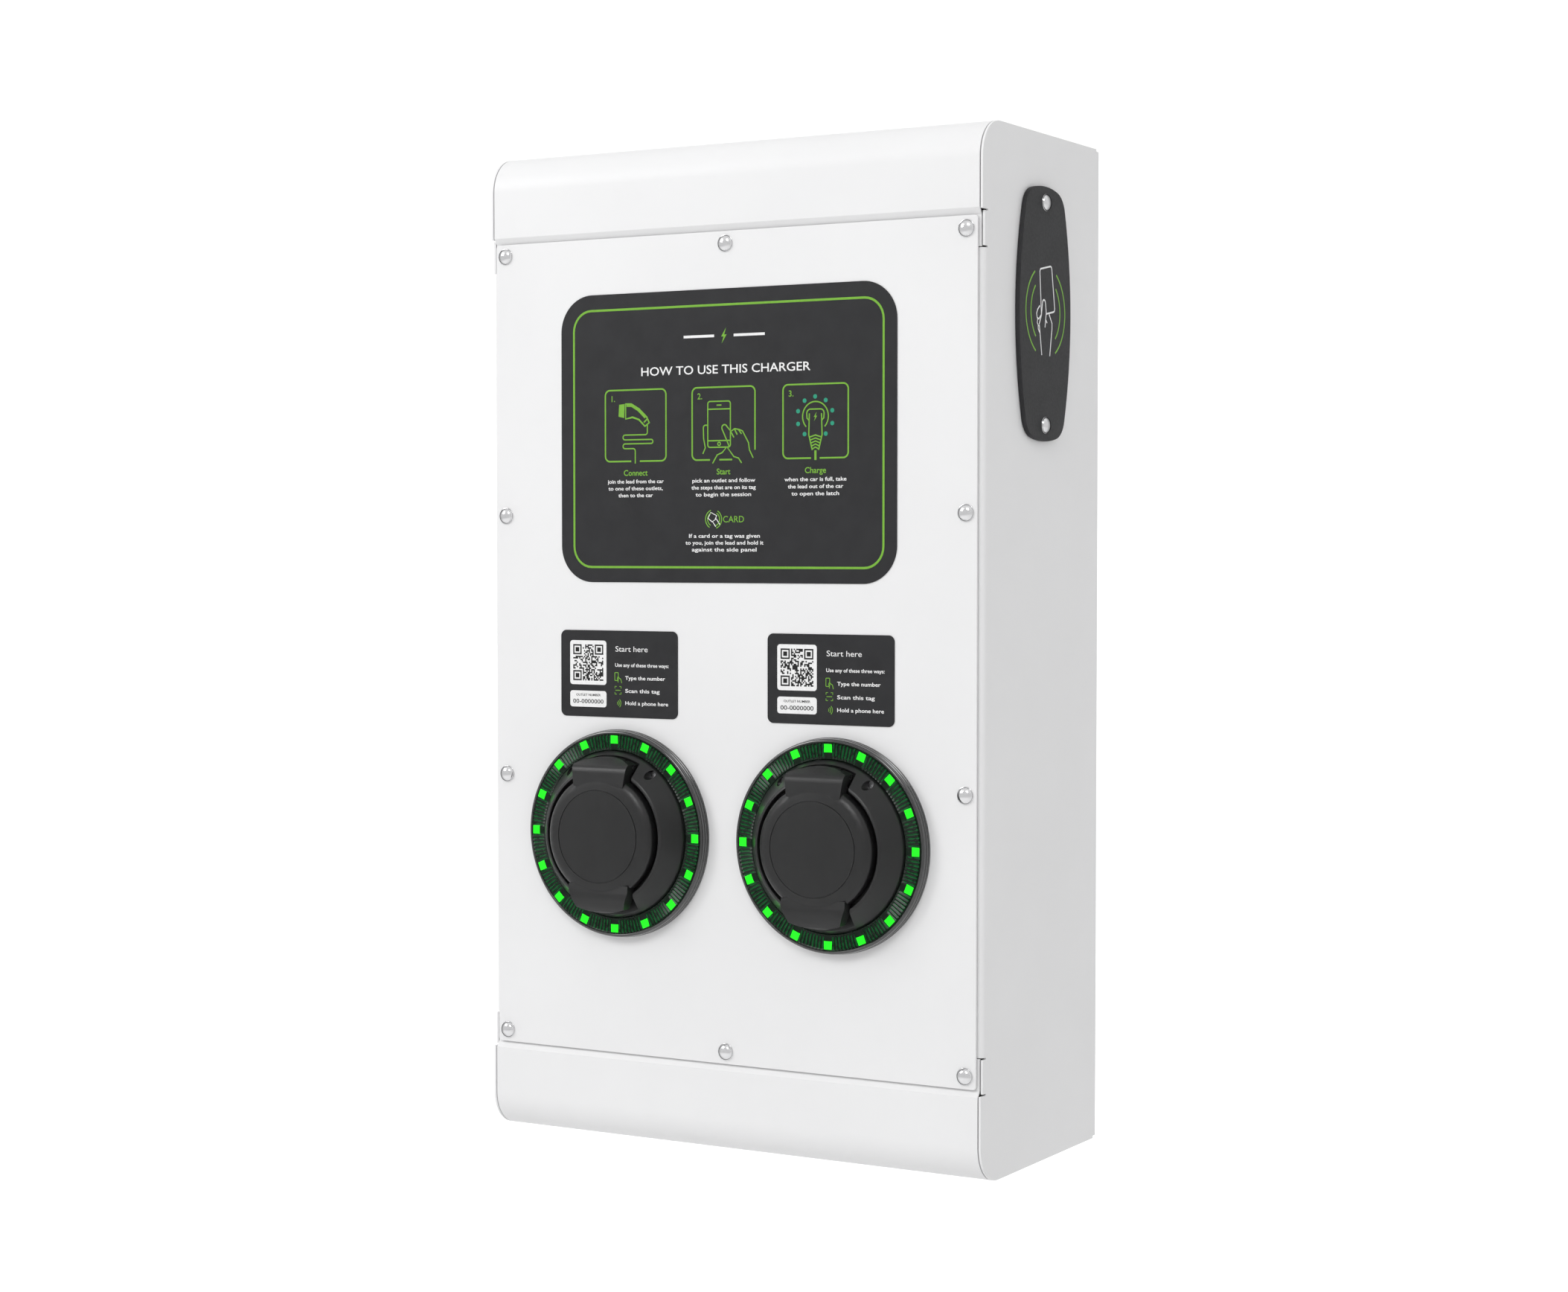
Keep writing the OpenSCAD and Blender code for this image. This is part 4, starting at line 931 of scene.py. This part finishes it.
class UNIT_OT_card_reader(PieceOperator):
    """Makes the reader plate on the right side, with its card and hand icon"""

    bl_idname = "unit.card_reader"
    bl_label = "Card reader"

    def execute(self, context):
        refined("reader_cover", "reader_plate", 0.0006, 3)
        green, white = Print("green_ink"), Print("white_ink")
        for radius, first, last in ((27.8, 57, -60), (20.7, 46, -48)):
            for flip in (-1, 1):
                points = [(flip * px, py) for px, py in arc(0, 1.3, radius, first, last, 24)]
                green.line(points, 1.15)
        self.card(white)
        self.hand(white)
        green.lay("reader_print_green", on_reader(), "reader_plastic")
        white.lay("reader_print_white", on_reader(), "reader_plastic")
        return {"FINISHED"}

    def card(self, pen):
        """A card, tilted a little, that the hand holds by its lower edge."""
        tilt = radians(10.4)
        w, h, r = 17.2, 27.6, 2.0
        outline = rounded(w, h, r, 0, 0, 6)
        middle = Vector((2.4, 14.4))
        corner = outline[:-7]
        turned = [(middle.x + px * cos(tilt) - py * sin(tilt),
                   middle.y + px * sin(tilt) + py * cos(tilt)) for px, py in corner]
        pen.line([(1.2, 0.2)] + turned + [(-6.0, -0.6)], 1.0)

    def hand(self, pen):
        thumb = [(-9.1, -6.6), (-5.9, -0.9), (-4.9, 4.2)] + arc(-2.3, 6.2, 2.2, 160, 10, 6)
        pen.line(thumb + [(0.9, 0.7), (0.1, -3.3), (-0.8, -8.1)], 1.0)
        pen.line([(0.1, -3.3), (2.2, -5.2)], 0.9)
        pen.line([(-8.3, 4.5), (-11.4, 2.0), (-12.7, -0.4), (-11.9, -2.9), (-9.6, -3.5), (-5.9, -0.6)], 1.0)
        pen.line([(-11.2, -3.6), (-11.8, -5.9), (-9.8, -7.8)], 0.9)
        pen.line([(-10.6, -7.6), (-10.3, -9.6), (-8.3, -11.6)], 0.9)
        pen.line([(-8.9, -6.9), (-7.8, -12.0), (-5.3, -25.0)], 1.0)
        pen.line([(5.0, 0.3), (9.2, -5.0), (9.2, -8.4), (6.1, -25.0)], 1.0)


class UNIT_OT_light_rings(PieceOperator):
    """Makes each socket's bezel, fluted lens and lit squares"""

    bl_idname = "unit.light_rings"
    bl_label = "Light rings"

    def execute(self, context):
        for side in SIDES:
            place = at_socket(side)
            self.bezel(side, place)
            self.lens(side, place)
            self.lights(side, place)
        return {"FINISHED"}

    def sizes(self):
        """Outer radius and height of the bezel, and radii of the lens, in millimetres."""
        low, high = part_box("led_bezel_left")
        lens_low, lens_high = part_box("led_lens_left")
        return ((high.x - low.x) / 2 / MM, (high.y - low.y) / MM,
                (lens_high.x - lens_low.x) / 2 / MM, LENS_INNER)

    def bezel(self, side, place):
        outer, height, lens_out, inner = self.sizes()
        rim = lens_out + 0.1
        profile = [(inner, 0.02), (outer, 0.02)]
        for step in range(2):
            base, level = outer - 0.2 * step, 1.3 + 2.2 * step
            profile += [(base, level), (base - 0.15, level + 0.25), (base - 0.55, level + 0.4),
                        (base - 0.55, level + 0.9), (base - 0.2, level + 1.1)]
        profile += [(outer - 0.5, 5.0), (outer - 0.6, height - 1.4)]
        profile += [(outer - 2.0 + 1.4 * cos(a), height - 1.4 + 1.4 * sin(a))
                    for a in (radians(15 * k) for k in range(1, 7))]
        profile += [(rim + 0.25, height), (rim, height - 0.25), (rim, 1.2), (inner, 1.2)]
        bm = spun(profile, 192)
        piece("bezel_" + side, bm, finish("bezel_gloss_black"), "housing",
              ("led_bezel_" + side,), place, smooth=50)

    def lens(self, side, place):
        """A ring whose top is cut into fine radial flutes between the lights."""
        own = settings().ring
        _, height, outer, inner = self.sizes()
        top = height + 0.2
        band = (inner + 2.4, outer - 1.0)
        profile = [(inner, 1.2), (inner + 1.2, 1.2), (inner + 1.2, top - 1), (outer, top - 1),
                   (outer, top - 0.2), (outer - 0.2, top), (band[1], top), (band[0], top),
                   (inner + 0.3, top), (inner, top - 0.3)]
        steps = 2 * own.flutes
        bm = spun(profile, steps)
        half_gap = (own.light_size / own.light_circle / 2) * 1.2
        pitch = tau / own.lights
        low = []
        groove = bm.verts.layers.float.new("groove")
        for vert in bm.verts:
            r = vert.co.xy.length
            if vert.co.z < top - 0.01 or not band[0] - 0.1 < r < band[1] + 0.1:
                continue
            turn = atan2(vert.co.y, vert.co.x)
            column = round(turn / tau * steps)
            from_light = abs((turn - pi / 2 + pitch / 2) % pitch - pitch / 2)
            if column % 2 and from_light > half_gap:
                low.append(vert)
                vert[groove] = 1
        bmesh.ops.translate(bm, verts=low, vec=(0, 0, -own.flute_depth / MM))
        piece("lens_" + side, bm, finish("lens_smoked"), "housing",
              ("led_lens_" + side,), place, smooth=20)

    def lights(self, side, place):
        """Square light guides that come up flush with the lens."""
        own = settings().ring
        top = self.sizes()[1] + 0.2 + 0.06
        size, circle = own.light_size / MM, own.light_circle / MM
        bm = bmesh.new()
        for k in range(own.lights):
            turn = Matrix.Rotation(pi / 2 + k * tau / own.lights, 4, "Z")
            made = block(bm, (circle - size / 2, -size / 2, 2.8), (circle + size / 2, size / 2, top))
            bmesh.ops.transform(bm, verts=made["verts"], matrix=turn)
        eased(bm, 0.35, 2)
        piece("lit_squares_" + side, bm, finish("led_green"), "housing",
              ("leds_" + side,), place)


class UNIT_OT_cowls(PieceOperator):
    """Makes the moulded cowls that carry the lids"""

    bl_idname = "unit.cowls"
    bl_label = "Cowls"

    def execute(self, context):
        for side in SIDES:
            refined("cowl_" + side, "socket_cowl_" + side, settings().socket.ease, 3, smooth=40)
        refined("cowl_screws", "socket_screws", 0.0001)
        return {"FINISHED"}


class UNIT_OT_lids(PieceOperator):
    """Makes the lids with their crowned faces, and their seals"""

    bl_idname = "unit.lids"
    bl_label = "Lids"

    # Distances from the lid's centre and the lifts there, in millimetres
    rim_low = 18.0
    disc_lift = ((29.0, 0), (30.7, 0.1), (33.3, 0.75), (35.9, 1.15), (37.7, 0.8), (38.4, 0.7))
    finger_lift = ((38.4, 1.2), (42, 1.7), (45, 2.1), (49, 2.0))
    hinge_lift = ((38.4, 0.4), (42, 0.2), (45, 0.5), (48, 0.9))

    def execute(self, context):
        own = settings().socket
        for side in SIDES:
            node = "socket_lid_" + side
            bm = merged_copy(node)
            self.crown(bm, node)
            eased(bm, own.ease, 3)
            piece("lid_" + side, bm, finish("cowl_plastic"), "lid_" + side, (node,),
                  smooth=40)
            refined("lid_gasket_" + side, "lid_seal_" + side, 0.0005)
        return {"FINISHED"}

    def crown(self, bm, node):
        """Makes the rim and the tabs fuller, and raises the face inside the circle into a dome."""
        own = settings().socket
        place = at_socket(node.rsplit("_", 1)[1])
        to_local = place.inverted()
        front = max((to_local @ v.co).z for v in bm.verts)
        groove = 28.65
        flat = [f for f in bm.faces
                if all((to_local @ v.co).z > front - 0.01 for v in f.verts)]
        rings = 6
        for _ in range(1, rings):
            bmesh.ops.inset_region(bm, faces=flat, thickness=groove * MM / rings * 0.97,
                                   use_boundary=True, use_even_offset=True)
        for vert in bm.verts:
            x, y, z = to_local @ vert.co
            r = sqrt(x * x + y * y)
            if z > front - 0.01 and r < groove:
                z += own.crown / MM * max(0, 1 - (r / groove) ** 2)
            elif r > groove and z > self.rim_low:
                z += self.lift(r, y)
            vert.co = place @ Vector((x, y, z))

    def lift(self, r, y):
        """How far the rim or a tab rises, by its distance from the centre."""
        steps = self.disc_lift
        if r > steps[-1][0]:
            steps = self.finger_lift if y < 0 else self.hinge_lift
        for (near, low), (far, high) in zip(steps, steps[1:]):
            if r <= far:
                return low + (high - low) * max(0, r - near) / (far - near)
        return steps[-1][1]


class UNIT_OT_sockets(PieceOperator):
    """Makes the socket inserts, their contact blocks and contacts"""

    bl_idname = "unit.sockets"
    bl_label = "Socket inserts"

    def execute(self, context):
        for side in SIDES:
            refined("insert_" + side, "socket_insert_" + side, 0.0004)
            refined("block_" + side, "contact_block_" + side, 0.0005)
        return {"FINISHED"}


class UNIT_OT_supply_entry(PieceOperator):
    """Makes the cable gland in the bottom"""

    bl_idname = "unit.supply_entry"
    bl_label = "Cable gland"

    def execute(self, context):
        refined("gland_body", "cable_gland", 0.0006)
        return {"FINISHED"}


class UNIT_OT_inside_gear(PieceOperator):
    """Gives every remaining CAD node its finish"""

    bl_idname = "unit.inside_gear"
    bl_label = "Gear inside"

    def execute(self, context):
        for name, node in frame["nodes"].items():
            material = finish(slot_of(name))
            for holder in node.material_slots:
                holder.material = material
            if not node.material_slots:
                node.data.materials.append(material)
        return {"FINISHED"}


STEPS = (
    UNIT_OT_stage, UNIT_OT_housing, UNIT_OT_fasteners, UNIT_OT_instruction_label, UNIT_OT_info_tags,
    UNIT_OT_card_reader, UNIT_OT_light_rings, UNIT_OT_cowls, UNIT_OT_lids, UNIT_OT_sockets,
    UNIT_OT_supply_entry, UNIT_OT_inside_gear,
)


class VIEW3D_PT_charging_unit(bpy.types.Panel):
    """Lists the unit's pieces and their sizes"""

    bl_label = "Charging Unit"
    bl_idname = "VIEW3D_PT_charging_unit"
    bl_space_type = "VIEW_3D"
    bl_region_type = "UI"
    bl_category = "Charging Unit"

    def draw(self, context):
        own = context.scene.charging_unit
        for name in ("stage", "housing", "prints", "ring", "socket"):
            group = getattr(own, name)
            column = self.layout.box().column()
            column.label(text=name.title())
            for key in group.__annotations__:
                column.prop(group, key)
        for step in STEPS:
            self.layout.operator(step.bl_idname)


CLASSES = (
    HousingSettings, PrintSettings, RingSettings, SocketSettings, StageSettings, UnitSettings,
    *STEPS, VIEW3D_PT_charging_unit,
)


def register():
    for item in CLASSES:
        bpy.utils.register_class(item)
    bpy.types.Scene.charging_unit = PointerProperty(type=UnitSettings)


def unregister():
    del bpy.types.Scene.charging_unit
    for item in reversed(CLASSES):
        bpy.utils.unregister_class(item)


def main():
    register()
    for step in STEPS:
        group, name = step.bl_idname.split(".")
        getattr(getattr(bpy.ops, group), name)()


if __name__ == "__main__":
    main()
